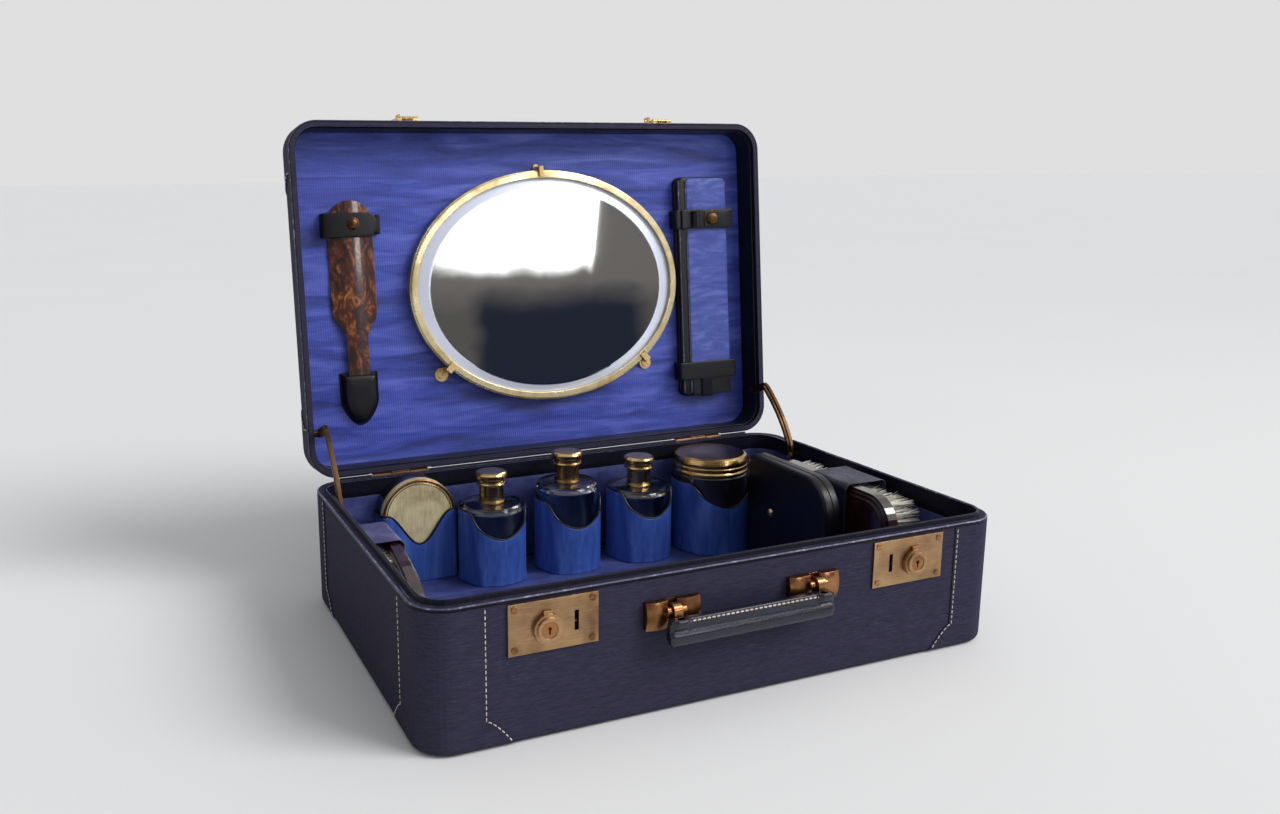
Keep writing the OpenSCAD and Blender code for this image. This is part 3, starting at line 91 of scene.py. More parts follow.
class Finish:
    """One material with a Principled shader. Each method adds a node and returns its output."""

    def __init__(self, name, colour, **sockets):
        self.material = bpy.data.materials.new(name)
        self.material.use_nodes = True
        self.tree = self.material.node_tree
        self.shader = self.tree.nodes["Principled BSDF"]
        self.put(self.shader.inputs["Base Color"], colour)
        for key, value in sockets.items():
            self.put(self.shader.inputs[key.replace("_", " ")], value)

    def put(self, socket, value):
        if isinstance(value, bpy.types.NodeSocket):
            self.tree.links.new(value, socket)
        elif isinstance(value, str):
            socket.default_value = tint(value)
        else:
            socket.default_value = value

    def give(self, key, value):
        self.put(self.shader.inputs[key], value)

    def node(self, kind, **inputs):
        made = self.tree.nodes.new("ShaderNode" + kind)
        for key, value in inputs.items():
            self.put(made.inputs[key.replace("_", " ")], value)
        return made

    def at(self, scale=(1, 1, 1), cloth=False, turn=(0, 0, 0)):
        """The surface's coordinates, turned and then multiplied by scale."""
        if cloth:
            source = self.node("UVMap")
            source.uv_map = "Cloth"
            out = source.outputs["UV"]
        else:
            out = self.node("TexCoord").outputs["Object"]
        return self.node("Mapping", Vector=out, Scale=scale, Rotation=turn).outputs["Vector"]

    def cloud(self, where, detail=3.0, rough=0.55, bend=0.0):
        """Soft noise, from about 0.3 to 0.7, one blotch to each unit of the coordinates."""
        return self.node("TexNoise", Vector=where, Scale=1.0, Detail=detail, Roughness=rough,
                         Distortion=bend).outputs["Fac"]

    def range(self, value, low, high, to_low=0.0, to_high=1.0):
        made = self.node("MapRange", Value=value)
        for k, v in zip((1, 2, 3, 4), (low, high, to_low, to_high)):
            made.inputs[k].default_value = v
        return made.outputs["Result"]

    def steps(self, value, *stops):
        made = self.node("ValToRGB", Fac=value)
        ramp = made.color_ramp.elements
        while len(ramp) < len(stops):
            ramp.new(0.5)
        for element, (place, colour) in zip(ramp, stops):
            element.position, element.color = place, tint(colour)
        return made.outputs["Color"]

    def mix(self, share, first, second):
        made = self.tree.nodes.new("ShaderNodeMix")
        made.data_type = "RGBA"
        for k, v in zip((0, 6, 7), (share, first, second)):
            self.put(made.inputs[k], v)
        return made.outputs[2]

    def calc(self, how, first, second):
        made = self.tree.nodes.new("ShaderNodeMath")
        made.operation = how
        self.put(made.inputs[0], first)
        self.put(made.inputs[1], second)
        return made.outputs[0]

    def plus(self, first, second):
        return self.calc("ADD", first, second)

    def minus(self, first, second):
        return self.calc("SUBTRACT", first, second)

    def times(self, first, second):
        return self.calc("MULTIPLY", first, second)

    def blend(self, first, share, second, other):
        """The weighted sum of two patterns: first by share, and second by other."""
        return self.plus(self.times(first, share), self.times(second, other))

    def relief(self, height, depth, edge=0.0):
        """Bump of depth metres, over edges rounded to a radius of edge metres."""
        made = self.node("Bump", Height=height, Distance=depth, Strength=1.0)
        if edge:
            soft = self.node("Bevel", Radius=edge)
            soft.samples = 6
            self.put(made.inputs["Normal"], soft.outputs["Normal"])
        self.give("Normal", made.outputs["Normal"])


print("Finish class ready")

# %% [markdown]
# ## Leather
# The case is covered in straight-grain leather: fine creases that run level round the sides. A
# plain noise gives pebbles, so the noise is stretched along the floor and squeezed upward. Rubbed
# places are paler and browner, and a second, finer grain keeps the highlight from looking like
# plastic.

# %% Leather finishes
def leather(name, dark, mid, worn, grain=(150, 150, 1500), rough=(0.36, 0.55), depth=0.00016,
            wear=0.66, gloss=0.2, **more):
    """Creases between dark and mid, turned to worn where patch times crease passes wear."""
    f = Finish(name, mid, Specular_IOR_Level=gloss, **more)
    crease = f.cloud(f.at(grain), 5.0, 0.62, 0.35)
    fine = f.node("TexVoronoi", Vector=f.at((1400, 1400, 1900)), Scale=1.0).outputs["Distance"]
    patch = f.cloud(f.at((9, 9, 14)), 3.0, 0.6, 0.6)
    base = f.steps(crease, (0.30, dark), (0.62, mid))
    rub = f.range(f.times(patch, f.range(crease, 0.4, 0.75)), wear - 0.28, wear)
    f.give("Base Color", f.mix(rub, base, worn))
    f.give("Roughness", f.range(crease, 0.3, 0.7, rough[1], rough[0]))
    f.relief(f.plus(crease, f.times(fine, 0.22)), depth)
    return f.material


NAVY = leather("navy_leather", "282738", "373548", "514e60", gloss=0.0, Coat_Weight=0.14,
               Coat_Roughness=0.35)
RIM = leather("rim_leather", "0f0f1a", "181826", "2c2c3a", (420, 420, 420), (0.3, 0.45), 0.00008,
              gloss=0.1)
# Paler leather for the rims' ridge rows and two lines on the manicure folder: partly wear, partly
# painted highlight lines.
WEAR_AND_HIGHLIGHT = leather("wear_and_highlight_edge", "3a3a4e", "62627a", "a2a2b4", (200, 200, 200), (0.3, 0.45), 0.00008,
               0.5)
DARK = leather("dark_leather", "06060b", "0c0c15", "1b1b26", (520, 520, 520), (0.28, 0.45),
               0.00008, gloss=0.35)
GRIP = leather("grip_leather", "12121f", "1c1c2f", "303048", (60, 300, 300), (0.18, 0.32),
               0.00002, gloss=0.5)
BACKING = leather("backing_board", "2a211a", "3c3026", "5a4a3a", (300, 300, 300))
print("leathers made")

# %% [markdown]
# ## Watered silk
# The linings are ribbed silk, pressed so that the ribs catch the light in level, wandering bands.
# The bands are a stretched and bent noise, the ribs a fine wave across the cloth. Wrinkles of the
# cloth itself are modelled in the mesh, because bump alone shows no shadow.

# %% Silk finishes
def silk(name, deep, mid, light, bands, ribs, sheen=0.35, ripple=1.0):
    """Bands times 0.8 plus smaller bands times 0.2 pick the colour; ribs darken it by a sixth."""
    f = Finish(name, mid, Sheen_Weight=sheen, Sheen_Roughness=0.35, Sheen_Tint=tint(light),
               Specular_IOR_Level=0.45)
    water = f.cloud(f.at((*bands, 1), cloth=True), 4.0, 0.55, 1.1)
    small = f.cloud(f.at((bands[0] * 5, bands[1] * 3.5, 1), cloth=True), 3.0, 0.6, 0.8)
    rib = f.node("TexWave", Vector=f.at(cloth=True), Scale=ribs, Distortion=0.6,
                 Detail=1.0).outputs["Fac"]
    tone = f.blend(water, 0.8, small, 0.2)
    colour = f.steps(tone, (0.36, deep), (0.50, mid), (0.64, light))
    f.give("Base Color", f.mix(f.range(rib, 0.0, 1.0, 0.0, 0.16), colour, deep))
    f.give("Roughness", f.range(tone, 0.35, 0.65, 0.54, 0.32))
    f.relief(f.blend(rib, 0.35, tone, 2.2 * ripple), 0.00022)
    return f.material


ROYAL = silk("royal_silk", "1e2e7c", "3547a8", "5461c0", (8, 62), 150.0)
HOLDER = silk("holder_silk", "22408c", "3454a6", "4d6cb8", (40, 10), 460.0)
FLOOR = silk("floor_silk", "2a3264", "3e4780", "566098", (14, 30), 420.0)
LAVENDER = silk("lavender_silk", "3c3c60", "50507a", "6c6d96", (30, 60), 500.0, 0.4)
# A darker copy of the lavender silk for the band over the right brush: painted shade for the right
# wall's shadow.
BAND = silk("painted_shade_silk", "16172a", "24253c", "383a58", (30, 60), 500.0, 0.3)
MANICURE = silk("manicure_silk", "384898", "4454a4", "6270ba", (30, 120), 480.0, ripple=0.15)
print("silks made")

# %% [markdown]
# ## Metals
# The locks are brushed brass, the handle fittings redder, the stays nearly brown, the caps and the
# mirror frame gilt. All are old: brown tarnish lies in blotches, the brushing is a noise stretched
# along one direction, and a Bevel node rounds the CAD edges so that they catch a line of light.

# %% Metal finishes
EVEN = (90, 90, 90)


def metal(name, bright, dull, rough=(0.22, 0.42), brush=(60, 60, 1800), depth=0.00002,
          edge=0.00035, tarnish=(0.42, 0.66), turn=(0, 0, 0), metallic=1.0):
    """Bright metal, dull where 0.7 of the blotches plus 0.3 of the brushing pass tarnish."""
    f = Finish(name, bright, Metallic=metallic)
    blotch = f.cloud(f.at((32, 32, 32)), 3.0, 0.55, 0.3)
    stroke = f.cloud(f.at(brush, turn=turn), 3.0, 0.6)
    pits = f.cloud(f.at((700, 700, 700)), 2.0, 0.5)
    share = f.range(f.blend(blotch, 0.7, stroke, 0.3), *tarnish)
    f.give("Base Color", f.mix(share, bright, dull))
    f.give("Roughness", f.range(f.plus(share, f.times(stroke, 0.4)), 0.1, 1.1, *rough))
    f.relief(f.plus(stroke, f.times(pits, 0.6)), depth, edge)
    return f.material


BRASS = metal("lock_brass", "bb9870", "80634a", (0.3, 0.45), edge=0.0005)
COPPER = metal("copper_brass", "a87850", "5e4028", (0.22, 0.4), EVEN, 0.00001)
DARK_BRASS = metal("dark_brass", "6e5238", "34261a", (0.3, 0.5), EVEN, 0.00001, 0.0006)
GILT = metal("gilt", "d8b87c", "8e6c40", (0.14, 0.3), (40, 40, 1500))
PALE_GILT = metal("pale_gilt", "efe0b6", "b59f70", (0.24, 0.38), (60, 60, 60), 0.000006, 0.0012)
SCRATCHED = metal("scratched_gilt", "e8d9ac", "8a7850", (0.4, 0.55), (1500, 60, 90), 0.00003,
                  0.0006, (0.46, 0.72), (0, 0.7, 0), 0.35)
CLIP = metal("clip_gilt", "e6c68a", "b08a54", (0.25, 0.4), EVEN, 0.00001, metallic=0.5)
CAP_TOP = metal("cap_top", "6c4a34", "3a261c", (0.25, 0.4), EVEN, 0.00001)
print("metals made")

# %% [markdown]
# ## Glass, shell, mirror and bristle
# The bottles are clear glass, the jar and the box's body dark. Tortoiseshell is amber with brown
# clouds under a polish, so its pattern is a bent noise cut to steps, and a clear coat lies over it.
# The mirror is a smooth metal with a few dull specks, and a paler, less polished ground edge whose
# near-white colour also paints the bright band of light along the bevel.

# %% Glass, shell, mirror and bristle finishes
def shell(name, dark, warm, pale, size, coat=1.0):
    """0.75 of a bent noise plus 0.25 of one 3.2 times as fine, cut to three colours."""
    f = Finish(name, warm, Roughness=0.28, Coat_Weight=coat, Coat_Roughness=0.07, IOR=1.54)
    drift = f.cloud(f.at(size), 4.0, 0.58, 1.6)
    fleck = f.cloud(f.at(tuple(3.2 * s for s in size)), 3.0, 0.6, 0.8)
    tone = f.blend(drift, 0.75, fleck, 0.25)
    f.give("Base Color", f.steps(tone, (0.43, dark), (0.54, warm), (0.70, pale)))
    f.relief(tone, 0.00005, 0.0006)
    return f.material


def hair(name, root, tip):
    f = Finish(name, tip, Roughness=0.5, Sheen_Weight=0.2)
    streak = f.cloud(f.at((60, 900, 900)), 3.0, 0.6)
    f.give("Base Color", f.steps(streak, (0.3, root), (0.7, tip)))
    f.relief(streak, 0.0001)
    return f.material


f = Finish("clear_glass", "eef2f4", Transmission_Weight=1.0, IOR=1.5)
smear = f.cloud(f.at((45, 45, 60)), 4.0, 0.6, 0.4)
f.give("Roughness", f.range(smear, 0.4, 0.75, 0.02, 0.12))
f.relief(smear, 0.00006)
CLEAR = f.material

# The ground edge starts where (x / 134.5)^2 + (z / 104.9)^2, from the mirror's middle, is 0.735.
f = Finish("mirror_silver", "d9dcdc")
dull = f.range(f.cloud(f.at((260, 260, 260)), 5.0, 0.7), 0.66, 0.76)
spot = f.node("SeparateXYZ", Vector=f.at()).outputs
oval = [f.calc("POWER", f.times(f.minus(spot[axis], middle), 1000 / half), 2.0)
        for axis, middle, half in (("X", 0.008, 134.5), ("Z", 0.24906, 104.9))]
# The near-white ground edge is partly a duller finish and partly a painted highlight band.
ground = f.range(f.plus(*oval), 0.735, 0.75)
f.give("Metallic", f.range(ground, 0.0, 1.0, 1.0, 0.45))
f.give("Roughness", f.range(ground, 0.0, 1.0, 0.03, 0.3))
f.give("Base Color", f.mix(ground, f.mix(dull, "dcdfe0", "8d8a86"), "e6ecff"))
SILVER = f.material

SMOKY = shell("smoky_glass", "0b0a0c", "15131a", "241f26", (18, 18, 18))
AMBER = shell("amber_shell", "200a08", "54200f", "b06f2a", (110, 65, 60), 0.9)
RED = shell("red_shell", "140504", "2c0c0a", "451612", (40, 40, 40))
BRISTLE = hair("bristle", "a49c8c", "ece6da")
THREAD = hair("thread", "a89a90", "e4dace")
print("glass, shell, mirror and bristle made")

# %% [markdown]
# ## Finishes for the CAD pieces
# The hard parts keep their CAD meshes. Each gets a finish in its material slots; nothing moves.

# %% Dress the CAD nodes
DRESS = (
    (NAVY, "base_tray base_corner_patches lid_shell lid_corner_patches"),
    (BRASS, "lock_plates lock_knob_left lock_knob_right"),
    (GILT, "hasp_bases hasp_left hasp_right base_stay_studs cap_left cap_middle cap_right jar_lid"),
    (COPPER, "lock_screws handle_brackets handle_loops key_barrel_left key_barrel_right"),
    (DARK_BRASS, "base_pins base_hinge_leaves lid_hinge_leaves lid_stay_studs stay_left "
                 "stay_right"),
    (PALE_GILT, "mirror_frame"), (SILVER, "mirror_glass"), (BACKING, "mirror_back"),
    (CLIP, "clip_left clip_right clip_top"), (AMBER, "shoehorn"), (SMOKY, "jar round_box"),
    (CLEAR, "bottle_left bottle_middle bottle_right"), (SCRATCHED, "round_box_lid"),
    (RED, "brush_back_left brush_back_right"),
)
for finish, names in DRESS:
    for name in names.split():
        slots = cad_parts[name].data.materials
        slots.clear()
        slots.append(finish)
print(sum(len(names.split()) for _, names in DRESS), "CAD nodes dressed")

# %% [markdown]
# ## A skin of computed points
# Every new piece is a grid of points: rows and columns, joined by four-sided faces. A tube joins
# its last column to its first, a ring joins its rows as well, and a closed piece gets a fan over
# each end. The same routine measures along rows and columns and stores the lengths as the Cloth
# map.

# %% The skin class
def run_lengths(line):
    """Metres from the first point of a line to each point, and once more back to the first."""
    return np.append(0, np.cumsum(np.linalg.norm(np.roll(line, -1, 0) - line, axis=1))) * MM


class Skin:
    """Gathers grids of points, in millimetres, and makes one mesh of them."""

    def __init__(self):
        self.points, self.faces, self.maps, self.marks, self.count = [], [], [], [], 0
        self.area, self.spans = 0.0, (0.0, 0.0)

    def grid(self, p, tube=False, ring=False, cap=False, finish=0, flip=False, sheet=None):
        """tube joins the last column to the first, ring the last row to the first, cap closes both
        ends. p may hold many grids of one size. finish is one number, or one for each column.
        sheet gives each point its place on flat cloth."""
        p = np.asarray(p, float)
        p = p[None] if p.ndim == 3 else p
        k, r, c = p.shape[:3]
        i, j = np.meshgrid(np.arange(r if ring else r - 1), np.arange(c if tube else c - 1),
                           indexing="ij")
        i, j = i.ravel(), j.ravel()
        i2, j2 = (i + 1) % r, (j + 1) % c
        quad = np.stack([i * c + j, i * c + j2, i2 * c + j2, i2 * c + j], -1)
        u, v = run_lengths(p[0, r // 2]), run_lengths(p[0, :, c // 2])
        uv = np.stack([np.stack([u[j + a], v[i + b]], -1)
                       for a, b in ((0, 0), (1, 0), (1, 1), (0, 1))], 1)
        self.spans = (u[-1] if tube else u[-2], v[-1] if ring else v[-2])
        if sheet is not None:
            flat = np.concatenate([np.asarray(sheet).reshape(-1, 2), np.zeros((2, 2))]) * MM
            uv = flat[quad]
        if flip:
            quad, uv = quad[:, ::-1], uv[:, ::-1]
        step = r * c + (2 if cap else 0)
        base = self.count + step * np.arange(k)[:, None, None]
        q = p[0].reshape(-1, 3)[quad]
        across = np.cross(q[:, 2] - q[:, 0], q[:, 3] - q[:, 1])
        self.area += 0.5 * np.linalg.norm(across, axis=1).sum() * MM * MM
        self.faces.append((quad[None] + base).reshape(-1, 4))
        self.maps.append(np.broadcast_to(uv[None], (k, *uv.shape)).reshape(-1, 2))
        points = p.reshape(k, r * c, 3)
        if cap:
            points = np.concatenate([points, p[:, :1].mean(2), p[:, -1:].mean(2)], 1)
            j = np.arange(c)
            j2 = (j + 1) % c
            fan = np.concatenate([
                np.stack([np.full(c, r * c), j2, j], -1),
                np.stack([np.full(c, r * c + 1), (r - 1) * c + j, (r - 1) * c + j2], -1)])
            end = np.stack([np.stack([u[j], 0 * u[j]], -1)] * 3, 1)
            fan_uv = np.concatenate([end, end]) if sheet is None else flat[fan]
            self.faces.append((fan[None] + base).reshape(-1, 3))
            self.maps.append(np.broadcast_to(fan_uv[None], (k, *fan_uv.shape)).reshape(-1, 2))
            self.marks.append(np.full(k * (len(quad) + len(fan)), finish))
        else:
            self.marks.append(np.tile(np.broadcast_to(finish, c)[j], k))
        self.points.append(points.reshape(-1, 3))
        self.count += k * step
        return self

    def build(self, name, finishes, body, replaces=(), slot=None, closed=True, sharp=38):
        """Makes the object, rides it on a CAD body and hides the CAD nodes that it stands for."""
        mesh = bpy.data.meshes.new(name)
        points = np.concatenate(self.points) * MM
        mesh.from_pydata(points.tolist(), [], [f for block in self.faces for f in block.tolist()])
        mesh.uv_layers.new(name="Cloth").data.foreach_set("uv", np.concatenate(self.maps).ravel())
        for finish in finishes if isinstance(finishes, (list, tuple)) else [finishes]:
            mesh.materials.append(finish)
        marks = np.concatenate(self.marks).astype(np.int32)
        mesh.polygons.foreach_set("material_index", marks)
        mesh.polygons.foreach_set("use_smooth", np.ones(len(mesh.polygons), bool))
        if closed:
            work = bmesh.new()
            work.from_mesh(mesh)
            bmesh.ops.recalc_face_normals(work, faces=work.faces)
            work.to_mesh(mesh)
            work.free()
        mesh.update()
        mesh.set_sharp_from_angle(angle=math.radians(sharp))
        piece = bpy.data.objects.new(name, mesh)
        bpy.context.scene.collection.objects.link(piece)
        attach(piece, body)
        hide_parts(*([replaces] if isinstance(replaces, str) else replaces))
        print(name, len(mesh.polygons), "faces")
        return piece


print("Skin class ready")


# %% Walls, closed forms and sheets
def thicken(piece, thickness, offset=-1.0):
    """A wall of the given thickness in millimetres, with offset as Blender's Solidify has it."""
    made = piece.modifiers.new("wall", "SOLIDIFY")
    made.thickness, made.offset = thickness * MM, offset
    return piece


def closed_form(name, rows, finish, body, node, slot, ring=False, **more):
    """One closed piece from its rows of points, capped at both ends unless the rows make a ring."""
    return Skin().grid(rows, tube=True, ring=ring, cap=not ring).build(
        name, finish, body, node, slot, **more)


def cloth_sheet(name, points, finish, body, node, slot, wall, offset=-1.0,
                tube=False, flip=False):
    """A sheet of cloth: a grid given a wall."""
    skin = Skin().grid(points, tube=tube, flip=flip)
    piece = thicken(skin.build(name, finish, body, node, slot, closed=False), wall, offset)


print("wall, closed form and sheet ready")

# %% [markdown]
# ## Outlines, sweeps and small waves
# Three tools serve most pieces. A rounded rectangle gives points and outward normals at even steps,
# so that a profile can be carried round it. A wobble is a seeded sum of sine waves, used for
# wrinkles. A rope carries a circle along a path, for piping.

# %% Outline, wobble and rope
def rounded(width, depth, radii, inset=0.0, step=3.0, arc=9):
    """Points and outward normals of a rectangle with a radius at each corner, drawn in by inset:
    a quarter circle at each corner, then a straight run to the next."""
    r4 = [radii] * 4 if np.isscalar(radii) else radii
    spots, normals = [], []
    for q in range(4):
        sx, sy = (1, -1, -1, 1)[q], (1, 1, -1, -1)[q]
        r, r_next = max(r4[q], 0.01), max(r4[(q + 1) % 4], 0.01)
        a = np.radians(np.linspace(q * 90, q * 90 + 90, arc + 1))
        n = np.stack([np.cos(a), np.sin(a)], -1)
        centre = np.array([sx * (width / 2 - r), sy * (depth / 2 - r)])
        span = (depth if q % 2 else width) - r - r_next
        m = max(int(span / step), 1)
        way = np.array([-n[-1][1], n[-1][0]])
        spots += [centre + r * n,
                  centre + r * n[-1] + way * (np.arange(1, m) * span / m)[:, None]]
        normals += [n, np.repeat(n[-1:], m - 1, 0)]
    spots, normals = np.concatenate(spots), np.concatenate(normals)
    return spots - inset * normals, normals


def wobble(a, b, seed, across, along, waves=9):
    """Sum of sine waves, between about -1 and 1, with up to across and along waves per unit of a
    and b. A column a with a row b gives a whole table."""
    rng = np.random.default_rng(seed)
    fa = rng.uniform(-across, across, waves)
    fb = rng.uniform(0.3 * along, along, waves) * rng.choice([-1, 1], waves)
    phase = rng.uniform(0, 2 * np.pi, waves)
    turns = np.multiply.outer(a, fa) + np.multiply.outer(b, fb)
    return np.sin(2 * np.pi * turns + phase).mean(-1) * 2


def rope(path, radius, sides=8, closed=False, lift=(0, 0, 1)):
    """A circle of the given radius at each point of a path, square to it."""
    path = np.asarray(path, float)
    tangent = (np.roll(path, -1, 0) - np.roll(path, 1, 0)) if closed else np.gradient(path, axis=0)
    tangent /= np.linalg.norm(tangent, axis=1, keepdims=True)
    side = np.cross(tangent, np.asarray(lift, float))
    side /= np.linalg.norm(side, axis=1, keepdims=True)
    other = np.cross(side, tangent)
    a = np.linspace(0, 2 * np.pi, sides, endpoint=False)[None, :, None]
    return path[:, None] + radius * (np.cos(a) * side[:, None] + np.sin(a) * other[:, None])


def smooth(x):
    """A soft step from 0 to 1 as x goes from 0 to 1: 3 x squared less 2 x cubed."""
    x = np.clip(x, 0, 1)
    return x * x * (3 - 2 * x)


print("outline, wobble and rope ready")

# %% [markdown]
# ## Sizes of the case
# These repeat the CAD source's numbers, in millimetres. The lid's pieces are worked out in lid
# coordinates: x, t from the lid's back edge, and d below its rim, then turned open on the hinge.

# %% Case sizes and the open lid
W, D, RIM_Z = 457.0, 300.0, 98.2
WALL, FLOOR_Z, LIP_LOW, LIP_RISE = 5.5, 8.0, 84.0, 3.5
CORNER, INNER_CORNER = 25.0, 19.5
HINGE_X, HINGE_Y, HINGE_Z, OPEN = 150, 151.5, 97.9, math.radians(96)
PANEL = 29.0


def swing_open(p):
    """Turns points of the closed lid about the hinge pins to where they are with the lid open."""
    p = np.asarray(p, float)
    y, z = p[..., 1] - HINGE_Y, p[..., 2] - HINGE_Z
    c, s = math.cos(OPEN), math.sin(OPEN)
    return np.stack([p[..., 0], HINGE_Y + y * c + z * s, HINGE_Z - y * s + z * c], -1)


def on_lid(x, t, d):
    """A point by lid coordinates, with the lid open."""
    x, t, d = np.broadcast_arrays(x, t, d)
    return swing_open(np.stack([x, D / 2 - t, RIM_Z + d], -1))


def lid_solid(local, x, t, d):
    """Moves a shape drawn about its own middle, with its front facing -d, on to the lid."""
    return on_lid(x + local[..., 0], t + local[..., 1], d - local[..., 2])


print("middle of the mirror at", on_lid(8.0, 153.7, 20.0).round(1))

# %% [markdown]
# ## The leather rims
# A rolled bead runs round the outside of each rim, then a flat band, and on the base a thin raised
# lip that the lid closes over. On the real case these catch pale lines of light; here the ridge
# rows get a paler leather that paints those lines as highlight, together with some wear. The CAD
# solid has square edges, so a rounded profile is carried round the outline and stands for it. Each
# row of a profile is the way in from the outline, the height, and on the base the share of the
# lip's rise.
# The rims stay 0.05 apart when the lid is shut, and dark cords close the gap between the hinges.

# %% Base rim and lip
outline, normal = rounded(W, D, CORNER, step=2.5, arc=14)
at_hinge = (outline[:, 1] > 140) & (np.abs(np.abs(outline[:, 0]) - HINGE_X) < 27)


def carried(profile, free):
    """The profile at each point of the outline. Its first columns, free of them, keep clear of the
    hinge leaves, 0.9 in from the outline."""
    inset = np.repeat(profile[None, :, 0], len(outline), 0)
    inset[at_hinge, :free] = np.maximum(inset[at_hinge, :free], 0.9)
    p = np.zeros((len(outline), len(profile), 3))
    p[..., :2] = outline[:, None] - inset[..., None] * normal[:, None]
    p[..., 2] = profile[:, 1]
    return p


rim_profile = np.array([
    (0.5, 95.3, 0), (0.05, 95.9, 0), (-0.05, 96.7, 0), (0.15, 97.6, 0), (0.75, 98.25, 0),
    (1.4, 98.25, 0), (1.95, 98.03, 0), (2.3, 98.12, 0), (3.8, 98.16, 0), (5.2, 98.1, 0),
    (5.65, 98.02, 0), (5.9, 98.1, 0.1), (5.92, 98.1, 0.75), (6.15, 98.1, 0.93), (6.6, 98.1, 1.02),
    (7.3, 98.1, 1.02), (7.8, 98.1, 0.92), (8.0, 98.1, 0.7), (8.0, 97.0, 0.2), (8.0, 90.0, 0),
    (7.95, 84.6, 0), (7.5, 84.0, 0), (5.6, 84.0, 0), (5.5, 95.3, 0)])
rim = carried(rim_profile, 7)
lip_on = 1 - smooth((outline[:, 1] - 97) / 5)       # the lip fades out where the hinges begin
rim[..., 2] += rim_profile[:, 2] * LIP_RISE * lip_on[:, None]
uneven = 0.08 * wobble(outline[:, :1], outline[:, 1:], 3, 0.02, 0.02)
rim[..., 2] += (uneven - 0.2) * (rim_profile[:, 1] > 97)
# Bead, small ridge and lip-top rows get the paler leather: partly wear, partly painted highlight
# lines.
wear_and_highlight_rows = np.isin(np.arange(len(rim_profile)), [3, 4, 7, 15, 16]).astype(int)
Skin().grid(rim, tube=True, ring=True, finish=wear_and_highlight_rows).build(
    "rim_leather", [RIM, WEAR_AND_HIGHLIGHT], "base", "base_rim", "navy_leather")
for k, (x0, x1) in enumerate(((-204, -175.8), (-124.2, 124.2), (175.8, 204))):
    seam = np.linspace((x0, HINGE_Y, HINGE_Z), (x1, HINGE_Y, HINGE_Z), 60)
    closed_form("hinge_cord_%d" % k, rope(seam, 1.3, 10), RIM, "base", (), "navy_leather")

# %% Lid rim
lid_profile = np.array([
    (0.5, 101.1), (0.05, 100.5), (-0.05, 99.7), (0.15, 98.8), (0.75, 98.18), (1.4, 98.18),
    (1.95, 98.37), (2.3, 98.3), (3.8, 98.25), (5.0, 98.3), (5.6, 98.7), (5.75, 99.4),
    (5.75, 103.1), (5.0, 103.2), (4.6, 101.2)])
# Bead and band rows get the paler leather: partly wear, partly painted highlight lines.
wear_and_highlight_rows = np.isin(np.arange(len(lid_profile)), [3, 8]).astype(int)
Skin().grid(swing_open(carried(lid_profile, 6)), tube=True, ring=True, finish=wear_and_highlight_rows).build(
    "lid_rim_leather", [RIM, WEAR_AND_HIGHLIGHT], "lid", "lid_binding", "navy_leather")

# %% [markdown]
# ## Lining the tray
# The floor is a thin padded board in silk, and the walls carry silk pulled up under the lip, with
# upright wrinkles. The floor is a grid squeezed into the rounded outline: each row is as wide as
# the outline is at its place. Wrinkles are a wobble that is quick along the wall and slow up it.

# %% Floor and walls of the tray
def filled(width, depth, radius, rows, columns):
    """A grid over a rounded rectangle: each row stretches to the outline's width at its place."""
    v = np.linspace(-1, 1, rows)
    v = np.sin(v * np.pi / 2) * 0.25 + v * 0.75
    y = v * depth / 2
    cut = np.clip(np.abs(y) - (depth / 2 - radius), 0, radius)
    half = width / 2 - radius + np.sqrt(np.maximum(radius ** 2 - cut ** 2, 0))
    u = np.linspace(-1, 1, columns)
    return np.stack([u[None] * half[:, None], np.repeat(y[:, None], columns, 1)], -1)


plan = filled(446.0, 289.0, INNER_CORNER, 120, 180)
edge = np.minimum(223 - np.abs(plan[..., 0]), 144.5 - np.abs(plan[..., 1]))
height = FLOOR_Z - 1.4 * np.exp(-edge / 2) + 0.35 * wobble(
    plan[..., 0] / 100, plan[..., 1] / 100, 5, 1.2, 1.6)
piece = Skin().grid(np.dstack([plan, height])).build(
    "floor_silk", FLOOR, "base", "base_lining", "royal_silk", closed=False)
thicken(piece, 1.3)

inner, inward = rounded(W - 2 * WALL, D - 2 * WALL, INNER_CORNER, step=1.6, arc=16)
up = np.linspace(0, 1, 24)
run = np.arange(len(inner)) / len(inner)
pull = (0.55 * wobble(run * 60, 0.0, 8, 2.2, 0.1)[:, None] * np.sin(up * np.pi * 0.92)[None] ** 0.6
        + 0.25 * wobble(run[:, None] * 60, up[None], 9, 3.5, 1.2))
wall = np.zeros((24, len(inner), 3))
wall[..., :2] = inner[None] - (1.35 + 0.6 * pull.T[..., None]) * inward[None]
wall[..., 2] = FLOOR_Z + (LIP_LOW + 1 - FLOOR_Z) * up[:, None]
cloth_sheet("wall_silk", wall, FLOOR, "base", "base_lining", "royal_silk", 0.9,
            tube=True, flip=True)

# %% [markdown]
# ## Silk holders for the bottles and the jar
# Each bottle stands in a silk sleeve over card, open at the top and cut low in a scoop at the
# front. The cut is a circle seen from the front, so the top edge's height is worked out from x
# alone. Two soft corners at the front catch the light. Dark piping is sewn along the edge.

